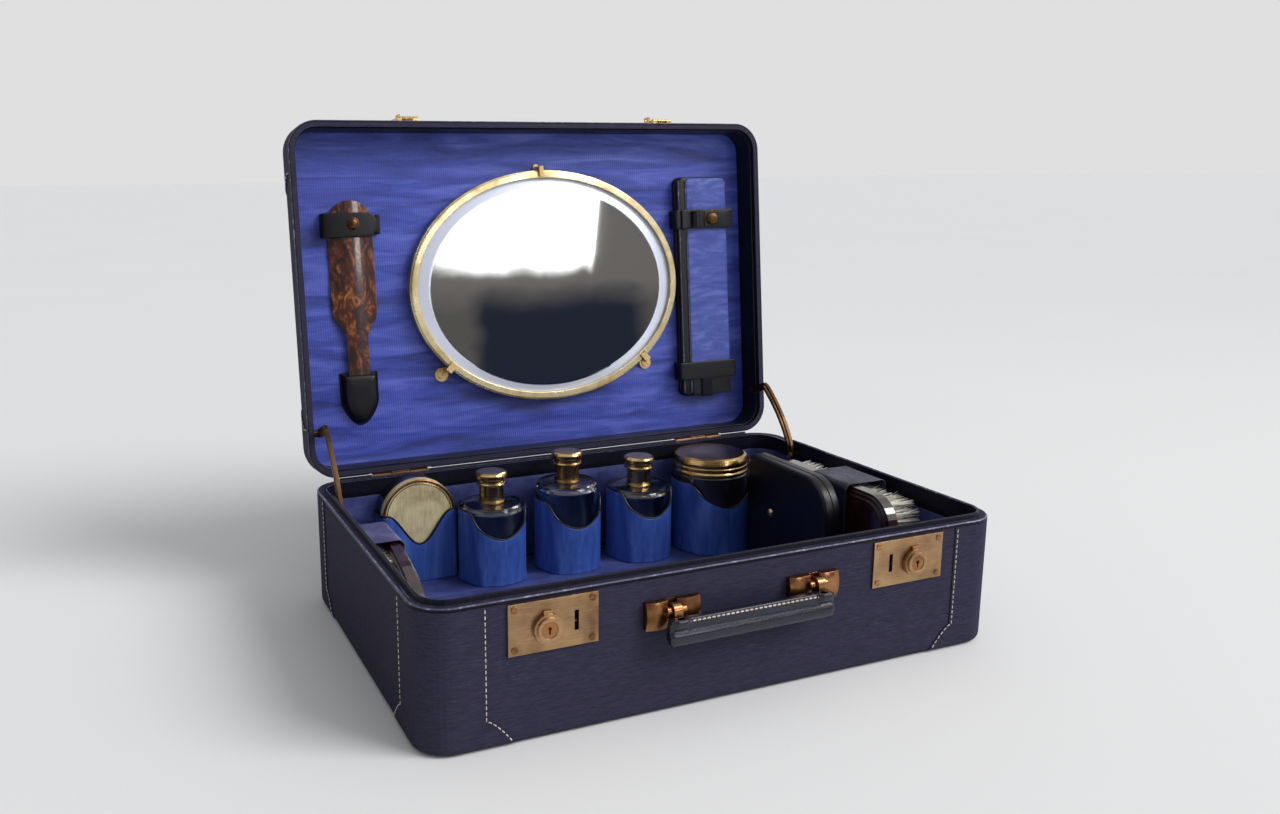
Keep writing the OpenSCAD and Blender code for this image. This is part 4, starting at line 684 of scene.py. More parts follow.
# %% Sleeves with a scooped front
def sleeve(name, x, y, radius, top, low, node, seed):
    """A tube round (x, y) whose top edge is level, and in front an arc from top down to low."""
    outer = radius + 1.2
    a = np.radians(np.linspace(0, 360, 144, endpoint=False))
    half = radius * 0.86
    ball = (half ** 2 + (top - low) ** 2) / (2 * (top - low))
    off = outer * np.sin(a)
    scoop = low + ball - np.sqrt(np.maximum(ball ** 2 - off ** 2, 0))
    edge = np.where((np.cos(a) > 0) & (np.abs(off) < half), scoop, top)
    edge = np.convolve(np.concatenate([edge[-3:], edge, edge[:3]]), np.ones(7) / 7, "valid")
    v = np.linspace(0, 1, 26)[:, None]
    turn = (np.degrees(a) + 180) % 360 - 180
    corner = 0.06 * np.exp(-((np.abs(turn) - 43) / 13) ** 2)
    fold = 0.10 * wobble(a[None] * 4, v * 0.3, seed, 2.4, 1.0)
    r = outer * (1 + corner[None]) + fold - 0.1 + 0.7 * np.exp(-v * 18)
    z = FLOOR_Z + v * (edge[None] - FLOOR_Z)
    p = np.stack([x + r * np.sin(a), y - r * np.cos(a), z], -1)
    cloth_sheet(name, p, HOLDER, "base", node, "royal_silk", 1.0,
                tube=True)
    path = p[-1] + [0, 0, 0.25]
    path[:, :2] -= 0.5 * np.stack([np.sin(a), -np.cos(a)], -1)
    closed_form(name + "_piping", rope(path, 0.8, closed=True), DARK, "base", node,
                "dark_leather", ring=True)


MIDDLE_X, BOTTLE_STEP, BOTTLE_Y = -9.5, 71.8, 110.5
for k, side in enumerate(("left", "middle", "right")):
    sleeve("sleeve_" + side, MIDDLE_X + (k - 1) * BOTTLE_STEP, BOTTLE_Y, 28.2, 72.0, 49.0,
           "bottle_holders", 20 + k)
sleeve("sleeve_jar", 136.0, 106.5, 34.8, 74.0, 52.0, "jar_holder", 24)

# %% [markdown]
# ## The round box's pocket
# The gilt box stands on edge in a pocket whose front dips in a soft V. The pocket is one sheet led
# round three sides. Its top edge follows the dip in front and stays level at the sides.

# %% Pocket with a dipped front
BOX_X, BOX_FRONT, BOX_HALF, BEND = -143.123, 119.7, 33.5, 4
POCKET_TOP, POCKET_DIP = 69.6, 27.5
a = np.radians(np.linspace(0, 90, 9))
side_run = np.stack([np.full(12, -BOX_HALF), np.linspace(142, BOX_FRONT + BEND, 12)], -1)
side_bend = np.stack([BEND - BOX_HALF - BEND * np.cos(a),
                      BOX_FRONT + BEND - BEND * np.sin(a)], -1)[1:-1]
front_run = np.linspace((BEND - BOX_HALF, BOX_FRONT), (BOX_HALF - BEND, BOX_FRONT), 60)
route = np.concatenate([side_run, side_bend, front_run, side_bend[::-1] * [-1, 1],
                        side_run[::-1] * [-1, 1]])
in_front = route[:, 1] < BOX_FRONT + 3
share = np.clip(np.abs(route[:, 0]) / (BOX_HALF - 5), 0, 1)
edge = POCKET_TOP - POCKET_DIP * ((1 + np.cos(np.pi * share)) / 2) ** 0.9 * in_front
v = np.linspace(0, 1, 28)[:, None]
pocket = np.zeros((28, len(route), 3))
pocket[..., 0] = BOX_X + route[None, :, 0]
pocket[..., 1] = (route[None, :, 1] - 0.5 * np.sin(v * np.pi) * in_front
                  - 0.12 * wobble(route[None, :, 0] / 20, v, 31, 1.5, 1.2))
pocket[..., 2] = FLOOR_Z + v * (edge[None] - FLOOR_Z)
cloth_sheet("box_pocket", pocket, HOLDER, "base", "box_holder", "royal_silk", 1.0)
closed_form("box_pocket_piping", rope(pocket[-1] + [0, 0.4, 0.3], 0.95), DARK, "base",
            "box_holder", "dark_leather")

# %% [markdown]
# ## Bands and pads that hold the brushes
# A brush stands on its long edge on a padded foot, and a band of lavender silk goes over it from
# wall to floor. The band is a path of points with rounded corners, drawn out to its width, with its
# two hems slightly gathered. The left brush is oval and lower, so its band and foot are too.

# %% Silk bands and padded feet
BRUSH_H, BAND_HALF, BAND_END = 66, 23.5, 214.0


def brush_band(name, mirror, x0, x1, y, z, finish):
    """Up a leg at x0, over the brush, and down a leg at x1, then drawn out along y."""
    top = z + BRUSH_H + 1.0
    a = np.radians(np.linspace(0, 90, 10))
    path = np.concatenate([
        np.linspace((x0, FLOOR_Z), (x0, top - 5), 22),
        np.stack([x0 + 5 - 5 * np.cos(a), top - 5 + 5 * np.sin(a)], -1),
        np.linspace((x0 + 5, top), (x1 - 4, top), 12)[1:-1],
        np.stack([x1 - 4 + 4 * np.sin(a), top - 4 + 4 * np.cos(a)], -1),
        np.linspace((x1, top - 5), (x1, FLOOR_Z), 20)])
    w = np.linspace(-1, 1, 26)
    gather = 0.25 * wobble(np.arange(len(path))[:, None] / 9, w[None], 41, 1.6, 1.0)
    hem = np.abs(w) ** 6
    over_top = path[:, 1:] > top - 3
    out = np.where(path[:, :1] < (x0 + x1) / 2, -1, 1) * (path[:, 1:] < top - 3)
    p = np.zeros((len(path), 26, 3))
    p[..., 0] = mirror * (path[:, :1] + out * (gather + 0.35 * hem))
    p[..., 1] = y + w * BAND_HALF * (1 - 0.02 * np.sin(np.linspace(0, np.pi, len(path)))[:, None])
    p[..., 2] = path[:, 1:] + over_top * (0.3 * gather + 0.3 * hem)
    cloth_sheet(name, p, finish, "base", "brush_bands", "lavender_silk", 0.9,
                offset=0.0, flip=mirror < 0)


def cushion(width, depth, radius, thick, rounding, dome=0.0, rings=9, step=3.0):
    """A closed pad drawn about its middle: level back, rounded edge, and a front raised by dome
    times 1 - s squared, where s goes from 1 at the rim to 0 in the middle."""
    outline, out = rounded(width, depth, radius, step=step)
    flat = np.ones(len(outline))
    turns = [(rounding * (1 - math.cos(a)), thick - rounding * (1 - math.sin(a)))
             for a in np.radians([0, 30, 60, 90])]
    levels = [(rounding * 0.5, 0), (0, min(rounding, thick) * 0.4)] + turns
    rows = [np.column_stack([outline - inset * out, flat * z]) for inset, z in levels]
    for s in np.linspace(1, 0.04, rings + 1)[1:]:
        front = (outline - rounding * out) * s
        rows.append(np.column_stack([front, flat * (thick + dome * (1 - s ** 2))]))
    return np.stack(rows)


# The right band takes the darker copy of the lavender silk: painted shade for the right wall's
# shadow.
for name, mirror, x0, y, z, finish in (("right", 1, 174.0, -16.5, 32.0, BAND),
                                       ("left", -1, 186.0, 43.6, 17.0, LAVENDER)):
    brush_band("brush_band_" + name, mirror, x0, BAND_END, y, z, finish)
    foot = cushion(BAND_END - 1.4 - x0, 46.4, 2.5, z - FLOOR_Z, 2.0, 0.2)
    foot = foot * [mirror, 1, 1] + [mirror * (x0 + BAND_END) / 2, y, FLOOR_Z - 0.3]
    closed_form("brush_foot_" + name, foot, FLOOR, "base", "brush_bands",
                          "lavender_silk")

# %% [markdown]
# ## Silk in the lid
# The lid's board is covered in the same watered silk, laid with soft level ripples that a fold of
# cloth makes where it is glued at the edges. The sides are faced in near-black leather, whose
# darkness also paints the shade on the lid's inner walls. Both are computed in lid coordinates and
# then swung open.

# %% Silk panel and the leather facing round it
plan = filled(445.6, 288.6, 19.2, 170, 190)
ripple = (0.5 * wobble(plan[..., 0] / 260, plan[..., 1] / 26, 51, 1.0, 1.2, 14)
          + 0.16 * wobble(plan[..., 0] / 90, plan[..., 1] / 12, 52, 1.0, 1.4, 14))
edge = np.minimum(222.8 - np.abs(plan[..., 0]), 144.3 - np.abs(plan[..., 1]))
depth = PANEL + 0.5 - ripple * smooth(edge / 12) - 0.5 * np.exp(-edge / 4)
cloth_sheet("lid_silk", on_lid(plan[..., 0], D / 2 - plan[..., 1], depth), ROYAL, "lid",
            "lid_panel", "royal_silk", 1.2)

inner, inward = rounded(W - 2 * WALL, D - 2 * WALL, INNER_CORNER, step=2.0, arc=14)
v = np.linspace(0, 1, 14)[:, None]
crease = 0.18 * wobble(np.arange(len(inner))[None] / 30, v, 54, 1.6, 1.4)
facing = np.zeros((14, len(inner), 3))
facing[..., :2] = inner[None] - (1.1 + crease[..., None]) * inward[None]
facing[..., 2] = RIM_Z + 4.2 + (PANEL - 4.0) * v
# Near-black leather on the lid's inner walls: partly their leather, partly painted shade.
cloth_sheet("lid_facing", swing_open(facing), DARK, "lid", "lid_lining", "dark_leather",
            0.8, tube=True, flip=True)

# %% [markdown]
# ## Shoehorn pocket and strap
# The shoehorn's tip sits in a small leather pocket with a rolled edge, and a strap with a press
# stud holds its blade. The pocket is a closed form: its outline is drawn once and stacked from the
# board forward, shrinking at the front so that the edge is soft.

# %% Pocket of the shoehorn
HORN_X, POCKET_HALF, POCKET_T = -175.0, 15.6, (62.0, 86.6)
a = np.radians(np.linspace(0, 180, 26))
side = np.linspace((POCKET_HALF, POCKET_T[1]), (POCKET_HALF, POCKET_T[0]), 10)
bottom = np.stack([POCKET_HALF * np.cos(a) * (1 - 0.26 * np.sin(a)),
                   POCKET_T[0] - 20.8 * np.sin(a)], -1)[1:-1]
mouth = np.stack([np.linspace(-POCKET_HALF, POCKET_HALF, 16),
                  POCKET_T[1] + 0.8 * np.cos(np.linspace(-1.5, 1.5, 16))], -1)[1:-1]
seam = np.concatenate([side, bottom, side[::-1] * [-1, 1]])
tongue, centre = np.concatenate([seam, mouth]), np.array([0.0, 66.0])
stack = np.stack([
    np.column_stack([centre + (tongue - centre) * share, np.full(len(tongue), rise)])
    for share, rise in ((1.0, 0.1), (1.0, 1.6), (0.965, 2.6), (0.92, 3.2), (0.90, 5.6), (0.87, 7.4),
                        (0.80, 8.7), (0.66, 9.2), (0.40, 9.3), (0.12, 9.3))])
closed_form("horn_pocket_leather", lid_solid(stack, HORN_X, 0, PANEL), DARK, "lid", "horn_pocket",
            "dark_leather")
welt = on_lid(HORN_X + seam[:, 0] * 1.02, seam[:, 1], PANEL - 1.4)
closed_form("horn_pocket_welt", rope(welt, 1.15, lift=(0, 1, 0)), RIM, "lid", "horn_pocket",
            "dark_leather")


# %% Strap, keeper and stud of the shoehorn
def stud_form(a_half, b_half, rise, rows=7, sides=40):
    """A low dome on a thin skirt, oval if its two half widths differ: an upright profile of radius
    and rise, turned once."""
    k = np.linspace(0, 1, rows)[1:-1] * np.pi / 2
    turn = np.linspace(0, 2 * np.pi, sides, endpoint=False)
    radius = np.concatenate([[1.0, 1.05, 1.0, 0.88, 0.86], 0.86 * np.cos(k), [0.05]])[:, None]
    up = np.concatenate([[-0.5, 0.1, 0.3, 0.32, 0.5], 0.5 + (rise - 0.5) * np.sin(k), [rise]])
    return np.stack([radius * a_half * np.cos(turn), radius * b_half * np.sin(turn),
                     np.repeat(up[:, None], sides, 1)], -1)


STRAP_T, HORN_STRAP = 214.3, ("horn_strap", "horn_strap")
strap = cushion(48.0, 21.0, [9.9, 1.5, 1.5, 9.9], 1.8, 0.8, 0.1, 4, 2.0)
strap[..., 2] += 0.9 * (1 - (strap[..., 0] / 24) ** 2)      # it bulges over the blade
leg, keeper = (cushion(wide, long, 1.2, rise, 1.0, 0.1, 3, 2.0)
               for wide, long, rise in ((3.4, 21.0, 9.5), (4.0, 17.0, 9.2)))
for name, form, x, d, (body, node) in (
        ("horn_strap_leather", strap, -0.5, 20.2, HORN_STRAP),
        ("horn_strap_root", leg, -24.0, PANEL, HORN_STRAP),
        ("horn_keeper", keeper, 23.6, PANEL, ("lid", "horn_pocket"))):
    closed_form(name, lid_solid(form, HORN_X + x, STRAP_T, d), DARK, body, node, "dark_leather")
closed_form("horn_stud", lid_solid(stud_form(5.6, 5.6, 2.4), HORN_X + 1.0, 214.8, 17.5), CAP_TOP,
            *HORN_STRAP, "dark_brass")

# %% [markdown]
# ## The manicure case
# A narrow folder of dark leather with a face of puckered silk, held on the lid's right by a band
# below and a strap with an oval stud above. The silk puckers because it is gathered along its
# edges, so its ripples run across it and are strongest at the sides.

# %% Manicure folder
MANI_LOW, MANI_TOP = 37.6, 251.6
MANI_T, MANI_L = (MANI_LOW + MANI_TOP) / 2, MANI_TOP - MANI_LOW
covers = Skin()
for wide, long, thick, rounding, dome, x, d in ((54.6, MANI_L, 5.0, 1.6, 0.2, 174.3, PANEL - 0.3),
                                                (53.8, MANI_L - 0.8, 5.4, 2.0, 0.3, 174.1,
                                                 PANEL - 5.5)):
    cover = cushion(wide, long, 7, thick, rounding, dome, 3, 2.5)
    covers.grid(lid_solid(cover, x, MANI_T, d), tube=True, cap=True)
covers.build("manicure_leather", DARK, "manicure_case", "manicure_case", "dark_leather")

pad = cushion(44.0, MANI_L - 3, 5, 1.9, 1.0, 0.2, 16, 1.2)
side = np.abs(pad[..., 0]) / 22
pucker = (0.42 * wobble(pad[..., 0] / 60, pad[..., 1] / 13, 61, 1.0, 1.7, 14)
          + 0.26 * wobble(pad[..., 0] / 24, pad[..., 1] / 5.2, 62, 1.0, 1.3, 14) * side ** 1.5)
pad[..., 2] += np.where(pad[..., 2] > 1.0, pucker * smooth((1.02 - side) * 8), 0)
face = Skin().grid(lid_solid(pad, 178.3, MANI_T, 18.5), tube=True, cap=True, sheet=pad[..., :2])
face.build("manicure_silk_face", MANICURE, "manicure_case", "manicure_silk",
                     "royal_silk", sharp=80)
# The two thin ropes in the paler leather paint highlight lines along the folder's left leather
# border.
for k, (x, d, radius) in enumerate(((148.3, 18.1, 0.55), (155.6, 17.4, 0.5))):
    line = on_lid(np.full(60, x), np.linspace(41, 248, 60), d)
    closed_form("manicure_highlight_line_%d" % k, rope(line, radius, lift=(1, 0, 0)), WEAR_AND_HIGHLIGHT,
                "manicure_case", "manicure_case", "dark_leather")

# %% Band, tab, strap and stud of the manicure folder
def lid_bar(x0, x1, t0, t1, back, front, rounding=0.7):
    """A flat bar between two places across the lid, two up it, and two depths below its rim."""
    bar = cushion(x1 - x0, t1 - t0, 1.2, back - front, rounding, 0.12, 4, 2.0)
    return lid_solid(bar, (x0 + x1) / 2, (t0 + t1) / 2, back)


CASE, HELD, LOOSE = ("manicure_case", "manicure_case"), ("lid", "case_band"), ("case_strap",) * 2
LEG_LEFT, LEG_RIGHT = (142.9, 146.2), (202.6, 205.8)
BAND_T, KEEPER_T, LOOSE_T = (54.6, 71.6), (201.8, 219.4), (201.4, 219.8)
for name, place, finish, held in (
        ("mani_end", (157.0, 200.4, 38.6, 57.0, 17.6, 15.9), DARK, CASE),
        ("mani_band", (143.6, 205.4, *BAND_T, 15.8, 14.5), DARK, HELD),
        ("mani_band_left", (*LEG_LEFT, *BAND_T, PANEL, 14.9), DARK, HELD),
        ("mani_band_right", (*LEG_RIGHT, *BAND_T, PANEL, 14.9), DARK, HELD),
        ("mani_tab", (166.0, 178.0, 36.8, 56.0, 15.8, 14.6), RIM, HELD),
        ("mani_keeper_root", (*LEG_LEFT, *KEEPER_T, PANEL, 15.2), DARK, HELD),
        ("mani_keeper", (143.6, 184.0, *KEEPER_T, 16.3, 14.9), DARK, HELD),
        ("mani_strap", (148.4, 205.4, *LOOSE_T, 14.9, 12.9), DARK, LOOSE),
        ("mani_strap_root", (*LEG_RIGHT, *LOOSE_T, PANEL, 13.2), DARK, LOOSE)):
    closed_form(name, lid_bar(*place), finish, *held, "dark_leather")
roll = on_lid(np.full(14, 163.0), np.linspace(203.0, 218.2, 14), 11.6)
closed_form("mani_roll", rope(roll, 4.2, 14, lift=(0, 1, 0)), DARK, *LOOSE, "dark_leather")
closed_form("mani_plate", lid_bar(173.0, 201.0, 203.0, 218.0, 13.0, 12.0, 0.4), DARK, *LOOSE,
            "dark_brass")
closed_form("mani_stud", lid_solid(stud_form(8.8, 7.2, 3.6), 181.5, 210.8, 12.4), DARK_BRASS,
            *LOOSE, "copper_brass")

# %% [markdown]
# ## The handle
# The grip is leather folded over a cord and sewn shut along its top, so its section is a round roll
# with a thin flange above it. The section is carried from end to end and drawn in at both ends. A
# row of pale thread follows the flange on each side.

# %% Stitches along a path
def stitches(name, path, out, pitch, length, radius, body, node=(), slot="navy_leather"):
    """Short rounded bars of thread at even steps along a path, each lying on the surface."""
    path = np.asarray(path, float)
    out = np.broadcast_to(np.asarray(out, float), path.shape)
    s = np.append(0, np.cumsum(np.linalg.norm(np.diff(path, axis=0), axis=1)))
    n = max(int(s[-1] / pitch), 1)
    spots = (np.arange(n) + 0.5) * s[-1] / n

    def along(places, values):
        return np.stack([np.interp(places, s, values[:, k]) for k in range(3)], -1)

    mid, nor = along(spots, path), along(spots, out)
    ahead = along(spots + 0.5, path) - along(spots - 0.5, path)
    ahead /= np.linalg.norm(ahead, axis=1, keepdims=True)
    side = np.cross(nor, ahead)[:, None, None]
    place = np.array([-0.5, -0.42, -0.2, 0.2, 0.42, 0.5])[None, :, None, None] * length
    wide = np.array([0.35, 0.85, 1.0, 1.0, 0.85, 0.35])[None, :, None, None] * radius
    a = np.linspace(0, 2 * np.pi, 6, endpoint=False)[None, None, :, None]
    p = (mid[:, None, None] + ahead[:, None, None] * place
         + wide * (side * np.cos(a) + nor[:, None, None] * np.sin(a)))
    closed_form(name, p, THREAD, body, node, slot, sharp=180)


# %% Grip
GRIP_HALF, GRIP_Y, GRIP_Z = 64.6, -162.6, 62.0
zs = np.array([71.1, 71.3, 70.9, 69.5, 66.0, 63.6, 62.2, 60.6, 57.6, 54.6, 52.6, 52.1])
half = np.array([0.3, 1.8, 2.6, 2.9, 2.5, 2.0, 3.0, 4.1, 4.4, 3.7, 1.9, 0.4])
section = np.concatenate([np.stack([-half, zs], -1), np.stack([half[::-1], zs[::-1]], -1)])
end_x = np.append(-GRIP_HALF, 4 * (1 - np.cos(np.radians([20, 45, 70, 90]))) - GRIP_HALF)
end_close = np.append(0.25, np.sin(np.radians([38, 60, 78, 88])))
xs = np.concatenate([end_x, np.linspace(-59, 59, 60), -end_x[::-1]])
close = np.concatenate([end_close, np.ones(60), end_close[::-1]])[:, None]
grip = np.zeros((len(xs), len(section), 3))
grip[..., 0] = xs[:, None]
grip[..., 1] = GRIP_Y + section[None, :, 0] * (0.35 + 0.65 * close)
grip[..., 2] = GRIP_Z + (section[None, :, 1] - GRIP_Z) * close
swell = smooth((np.abs(xs) - 50) / 2.5) * smooth((62.5 - np.abs(xs)) / 2.0)
grip[..., 1] += (np.sign(section[None, :, 0]) * 2.6 * swell[:, None]
                 * smooth((grip[..., 2] - 64.0) / 2.5))
grip[..., 1] += 0.15 * wobble(xs[:, None] / 30, grip[..., 2] / 30, 71, 1.5, 1.0)
closed_form("grip_leather", grip, GRIP, "handle", "handle_grip", "navy_leather", sharp=60)
for side, y, out in (("front", -165.5, -1), ("back", -159.7, 1)):
    stitches("grip_stitches_" + side, np.linspace((-60, y, 69.3), (60, y, 69.3), 40),
             (0, out, 0.0), 3.6, 2.7, 0.6, "handle", "handle_grip")

# %% [markdown]
# ## The rings on the round box
# Two turned beads run round the face of the gilt box. Each is a circle carried round a larger one.

# %% Beads of the round box
a = np.linspace(0, 2 * np.pi, 96, endpoint=False)
for k, (radius, thick, finish) in enumerate(((31.2, 1.1, COPPER), (28.6, 0.5, GILT))):
    circle = np.column_stack([BOX_X + radius * np.cos(a), np.full(96, 121.75),
                              66.5 + radius * np.sin(a)])
    closed_form("box_bead_%d" % k, rope(circle, thick, 10, closed=True, lift=(0, 1, 0)), finish,
                "round_box_lid", (), "pale_gilt", ring=True)

# %% [markdown]
# ## Jewel case
# A flat leather case with one large rounded corner stands on edge at the right. Its two halves meet
# in a groove along the middle of its edge, and a brass button opens it. The form is its outline at
# twelve places across its thickness, drawn in by the first number of each pair, and two more rows
# that close its face.

# %% Jewel case and its button
JEWEL = np.array([150, 10.5, 56.15])
form = []
for inset, x in ((3.4, 0.0), (1.1, 0.3), (0.3, 1.1), (0.0, 2.6), (0.0, 6.9), (0.7, 7.4), (0.7, 8.2),
                 (0.0, 8.7), (0.0, 13.4), (0.3, 14.9), (1.1, 15.7), (3.4, 16.0)):
    loop, _ = rounded(111.0, 95.7, [7, 30, 3.6, 3.6], inset, 4.0, 10)
    form.append(np.column_stack([np.full(len(loop), x), loop]))
face = [form[0] * [1, s, s] - [0.2, 0, 0] for s in (0.06, 0.5)]
closed_form("jewel_leather", JEWEL + np.stack(face + form), DARK, "jewel_case", "jewel_case",
            "dark_leather")
button = stud_form(4.6, 4.6, 2.6)
closed_form("jewel_button", button[..., [2, 0, 1]] * [-1, 1, 1] + [150.2, 30, 58], GILT,
            "jewel_case", "jewel_case", "gilt")

# %% [markdown]
# ## Bristles
# The hairs are set in tufts, a few hundred holes in rows. Each tuft is a dozen or so tapered hairs
# that lean apart. All hairs are one array of shape tuft by hair by ring by corner, so no loop
# touches a point.

# %% Tufts of hair
PITCH, HAIRS = 6.1, 16


def bristle_set(name, mirror, seat, y, z, length, oval):
    """Tapered hairs from each hole to a tip that leans out, and the bed that they stand in."""
    ny, nz = int(146 / PITCH), int(54 / PITCH)
    gy, gz = np.meshgrid((np.arange(ny + 1) - ny / 2) * PITCH, (np.arange(nz + 1) - nz / 2) * PITCH)
    holes = np.stack([gy.ravel(), gz.ravel()], -1)
    if oval:
        inside = np.hypot(holes[:, 0] / 74, holes[:, 1] / 28) < 1
    else:
        inside = np.hypot(*np.maximum(np.abs(holes) - [53.0, 7.0], 0).T) < 21.5
    holes = holes[inside][:, None]
    size = (len(holes), HAIRS)
    rng = np.random.default_rng(7 if mirror > 0 else 8)
    root = holes + rng.normal(0, 0.55, (*size, 2))
    tip = holes * 1.035 + rng.normal(0, 1.25, (*size, 2))
    reach = length + rng.uniform(-1.6, 0, (*size, 1))
    along = np.linspace(0, 1, 4)
    a = np.linspace(0, 2 * np.pi, 4, endpoint=False)
    line = root[:, :, None] + (tip - root)[:, :, None] * (along ** 1.4)[:, None]
    thick = np.array([0.30, 0.28, 0.22, 0.06])[:, None]
    p = np.zeros((*size, 4, 4, 3))
    p[..., 0] = (seat + 1.7 + reach * along)[..., None]
    p[..., 1] = line[..., None, 0] + thick * np.cos(a)
    p[..., 2] = line[..., None, 1] + thick * np.sin(a)
    middle = [0, y, z + BRUSH_H / 2]
    skin = Skin().grid((p * [mirror, 1, 1] + middle).reshape(-1, 4, 4, 3), tube=True)
    bed = []
    for inset, x in ((0.4, -0.2), (0.0, 0.2), (0.0, 1.4), (0.6, 2.0)):
        loop, _ = rounded(153, 61, 23.5, inset, 5.0, 8)
        if oval:
            a = np.linspace(0, 2 * np.pi, 64, endpoint=False)
            loop = np.stack([(76.5 - inset) * np.cos(a), (30.5 - inset) * np.sin(a)], -1)
        bed.append(np.column_stack([np.full(len(loop), seat + x), loop]))
    skin.grid(np.stack(bed) * [mirror, 1, 1] + middle, tube=True, cap=True, finish=1)
    skin.build("hair_" + name, [BRISTLE, RED], "brush_" + name, "bristles_" + name, "bristle",
               sharp=60)


bristle_set("right", 1, 187.0, -9.0, 32.0, 24.0, False)
bristle_set("left", -1, 198.0, 38.0, 17.0, 13.0, True)

# %% [markdown]
# ## Thread along the corner patches
# Leather patches cover the corners, and a line of pale stitches follows each patch's edge. It runs
# down the wall and turns out at the foot, by the same curve as the CAD patch: across by 19 u, up by
# 20 (1 - u to the power 1.4).

# %% Patch stitching
PATCH = 44.5


def patch_line(half, low, high, start, down):
    """Stitch line on a face of half length half, between two heights. It starts from the foot, at
    the height start, and down is 1 on the base and -1 on the lid."""
    u = np.linspace(0, 0.94, 24)
    curve = np.stack([half - PATCH - 19 * u + 1.7, 20 * (1 - u ** 1.4) + 0.9 * u], -1)
    line = np.concatenate([[[half - PATCH + 1.7, 200]], curve])
    s = np.append(0, np.cumsum(np.linalg.norm(np.diff(line, axis=0), axis=1)))
    even = np.linspace(0, s[-1], 400)
    along, z = np.interp(even, s, line[:, 0]), start + down * np.interp(even, s, line[:, 1])
    keep = (z > low) & (z < high)
    return along[keep], z[keep]


count = 0
for body, start, low, high, down in (("base", 0.0, 3.0, 94.6, 1), ("lid", 133.3, 101.6, 121.5, -1)):
    for half, other, order in ((W / 2, D / 2, [0, 1, 2]), (D / 2, W / 2, [1, 0, 2])):
        along, z = patch_line(half, low, high, start, down)
        for sa, sb in ((-1, -1), (-1, 1), (1, -1), (1, 1)):
            path = np.stack([sa * along, np.full(len(z), sb * (other + 0.05)), z], -1)[:, order]
            out = np.array([0.0, sb, 0.0])[order]
            if body == "lid":
                path, out = swing_open(path), swing_open(out) - swing_open(np.zeros(3))
            count += 1
            stitches("stitch_%s_%d" % (body, count), path, out, 3.8, 2.6, 0.42, body)
print(count, "lines of stitches")

# %% [markdown]
# ## Floor, backdrop and light
# The floor is pale and its shade is close to that of the world behind it, so the horizon hardly
# shows. One soft sun from the front right gives the shadow on the left, the world fills it, more
# from the right than from the left, and a large lamp gives metal and glass their highlights.

# %% Floor
def stage_sheet(name, corners, finish):
    """One four-sided face that isn't part of the object, such as the floor."""
    mesh = bpy.data.meshes.new(name)
    mesh.from_pydata(corners, [], [(0, 1, 2, 3)])
    mesh.materials.append(finish)
    made = bpy.data.objects.new(name, mesh)
    bpy.context.scene.collection.objects.link(made)
    return made


paper = Finish("floor_paper", "e2e2e2", Roughness=0.9, Specular_IOR_Level=0.1)
paper.give("Base Color", paper.mix(paper.cloud(paper.at((1.5, 1.5, 1.5)), 2.0), "eaeaea", "e7e7e7"))
FAR, UNDER = 40, -0.0006
stage_sheet("Floor", [(-FAR, -FAR, UNDER), (FAR, -FAR, UNDER), (FAR, FAR, UNDER),
                      (-FAR, FAR, UNDER)], paper.material)
print("floor ready")

# %% World
world = bpy.data.worlds.new("Studio")
bpy.context.scene.world = world
world.use_nodes = True
sky = world.node_tree
sky.nodes.clear()


def sky_node(kind, *inputs, how=None):
    """One node of the world, its inputs in order, each a link or a value. Gives its outputs."""
    made = sky.nodes.new("ShaderNode" + kind)
    if how:
        made.operation = how
    for socket, value in zip(made.inputs, inputs):
        if isinstance(value, bpy.types.NodeSocket):
            sky.links.new(value, socket)
        else:
            socket.default_value = value
    return made.outputs


toward = sky_node("VectorMath", sky_node("TexCoord")["Generated"], (0.78, -0.55, 0.30),
                  how="DOT_PRODUCT")["Value"]
strength = sky_node("MapRange", toward, -0.9, 0.9, 0.14, 0.80)[0]
fill = sky_node("Background", (0.97, 0.98, 1.0, 1), strength)[0]
seen = sky_node("Background", (0.745, 0.745, 0.745, 1), 1.0)[0]
ray = sky_node("LightPath")
through = sky_node("Math", ray["Is Camera Ray"], ray["Is Transmission Ray"], how="MAXIMUM")[0]
pick = sky_node("Math", through, ray["Is Glossy Ray"], how="MAXIMUM")[0]
sky_node("OutputWorld", sky_node("MixShader", pick, fill, seen)[0])
print("world ready")

# %% Lamps
def lamp(name, kind, place, target, energy, colour=(1, 1, 1), **settings):
    """A lamp at place that shines towards target."""
    data = bpy.data.lights.new(name, kind)
    data.energy, data.color = energy, colour
    for key, value in settings.items():
        setattr(data, key, value)
    made = bpy.data.objects.new(name, data)
    bpy.context.scene.collection.objects.link(made)
    made.location = place
    way = Vector(target) - Vector(place)
    made.rotation_euler = way.to_track_quat("-Z", "Y").to_euler()


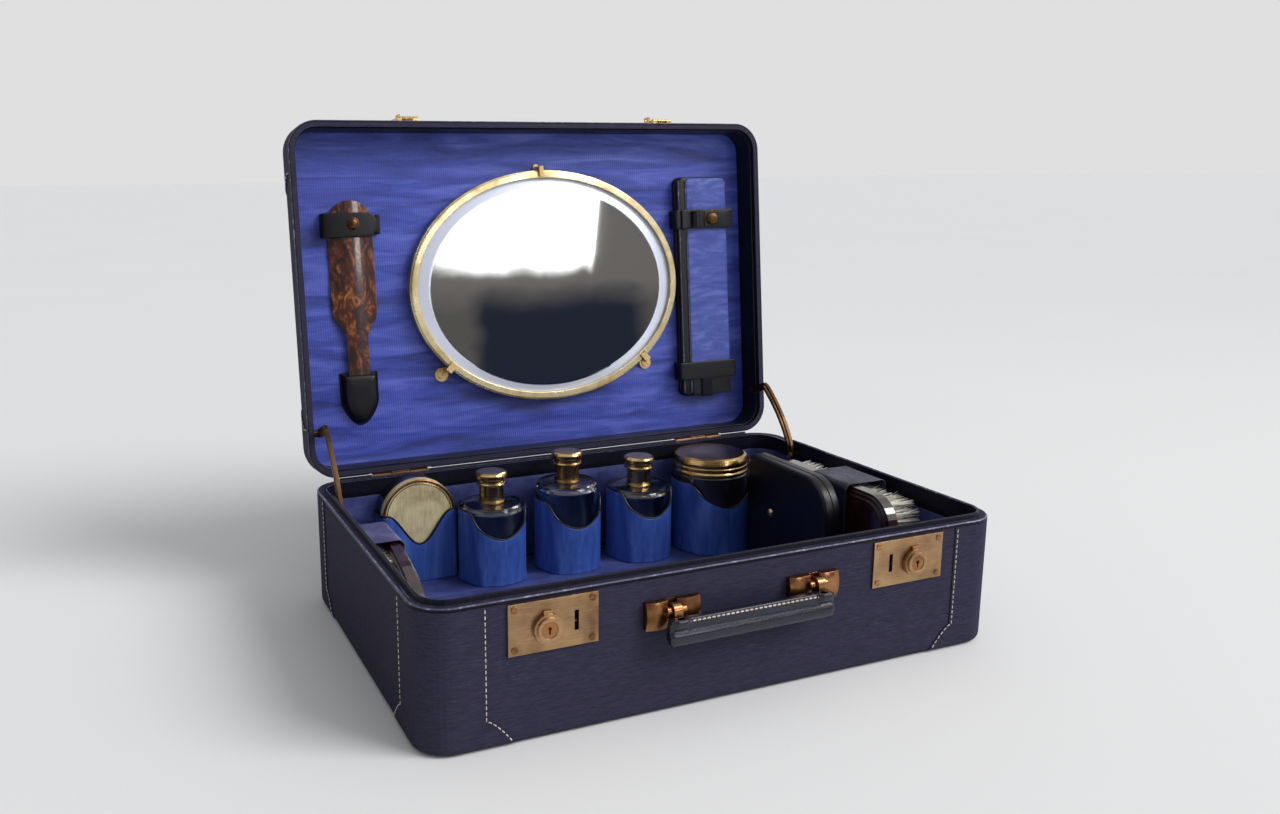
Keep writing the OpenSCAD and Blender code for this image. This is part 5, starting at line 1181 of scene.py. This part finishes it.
lamp("Sun", "SUN", (1.5, -1.3, 1.6), (0, 0, 0), 1.80, angle=math.radians(30))
lamp("Window", "AREA", (1.5, -1.1, 1.5), (0, 0, 0.15), 6, (1.0, 0.99, 0.97), shape="RECTANGLE",
     size=0.5, size_y=1.1)
print("lamps ready")

# %% [markdown]
# ## A card for reflections
# The room behind the camera was dim and grey with one bright window, and the mirror shows it. A
# card with a plain glow stands there. The camera doesn't see it and it throws no light on the case:
# only glossy reflections find it.

# %% Card for the reflections
f = Finish("room_glow", "000000")
spot = f.node("SeparateXYZ", Vector=f.at()).outputs
haze = f.times(f.minus(f.cloud(f.at((3, 3, 5)), 4.0, 0.6, 0.5), 0.5), 0.14)
soft_x, soft_z = f.plus(spot["X"], haze), f.plus(spot["Z"], haze)
slanted = f.minus(spot["X"], f.times(spot["Z"], 0.2))
pane = f.times(f.times(f.range(soft_x, 0.84, 1.08), f.range(slanted, 1.50, 1.512, 1.0, 0.0)),
               f.times(f.range(soft_z, 0.59, 0.68), f.range(spot["Z"], 1.5, 1.52, 1.0, 0.0)))
low = f.range(soft_z, 0.46, 0.56, 1.0, 0.0)
middle = f.times(f.range(soft_x, 1.05, 1.12), f.range(soft_x, 1.80, 1.90, 1.0, 0.0))
wall = f.mix(f.times(low, middle), f.mix(low, "76716d", "5f5b58"), "272b3a")
glow = f.node("Emission", Color=f.mix(pane, wall, "ffffff"),
              Strength=f.range(pane, 0.0, 1.0, 1.0, 6.0))
f.tree.links.new(glow.outputs[0], f.tree.nodes["Material Output"].inputs["Surface"])
room = stage_sheet("Room", [(-4.5, -3, 0.0), (4.5, -3, 0.0), (4.5, -3, 3.2), (-4.5, -3, 3.2)],
                   f.material)
room.visible_camera = room.visible_diffuse = False
room.visible_shadow = room.visible_transmission = False
print("room card ready")

# %% [markdown]
# ## The view transform
# The view transform is Standard, so a colour renders as it is written.

# %% View transform
bpy.context.scene.view_settings.view_transform = "Standard"
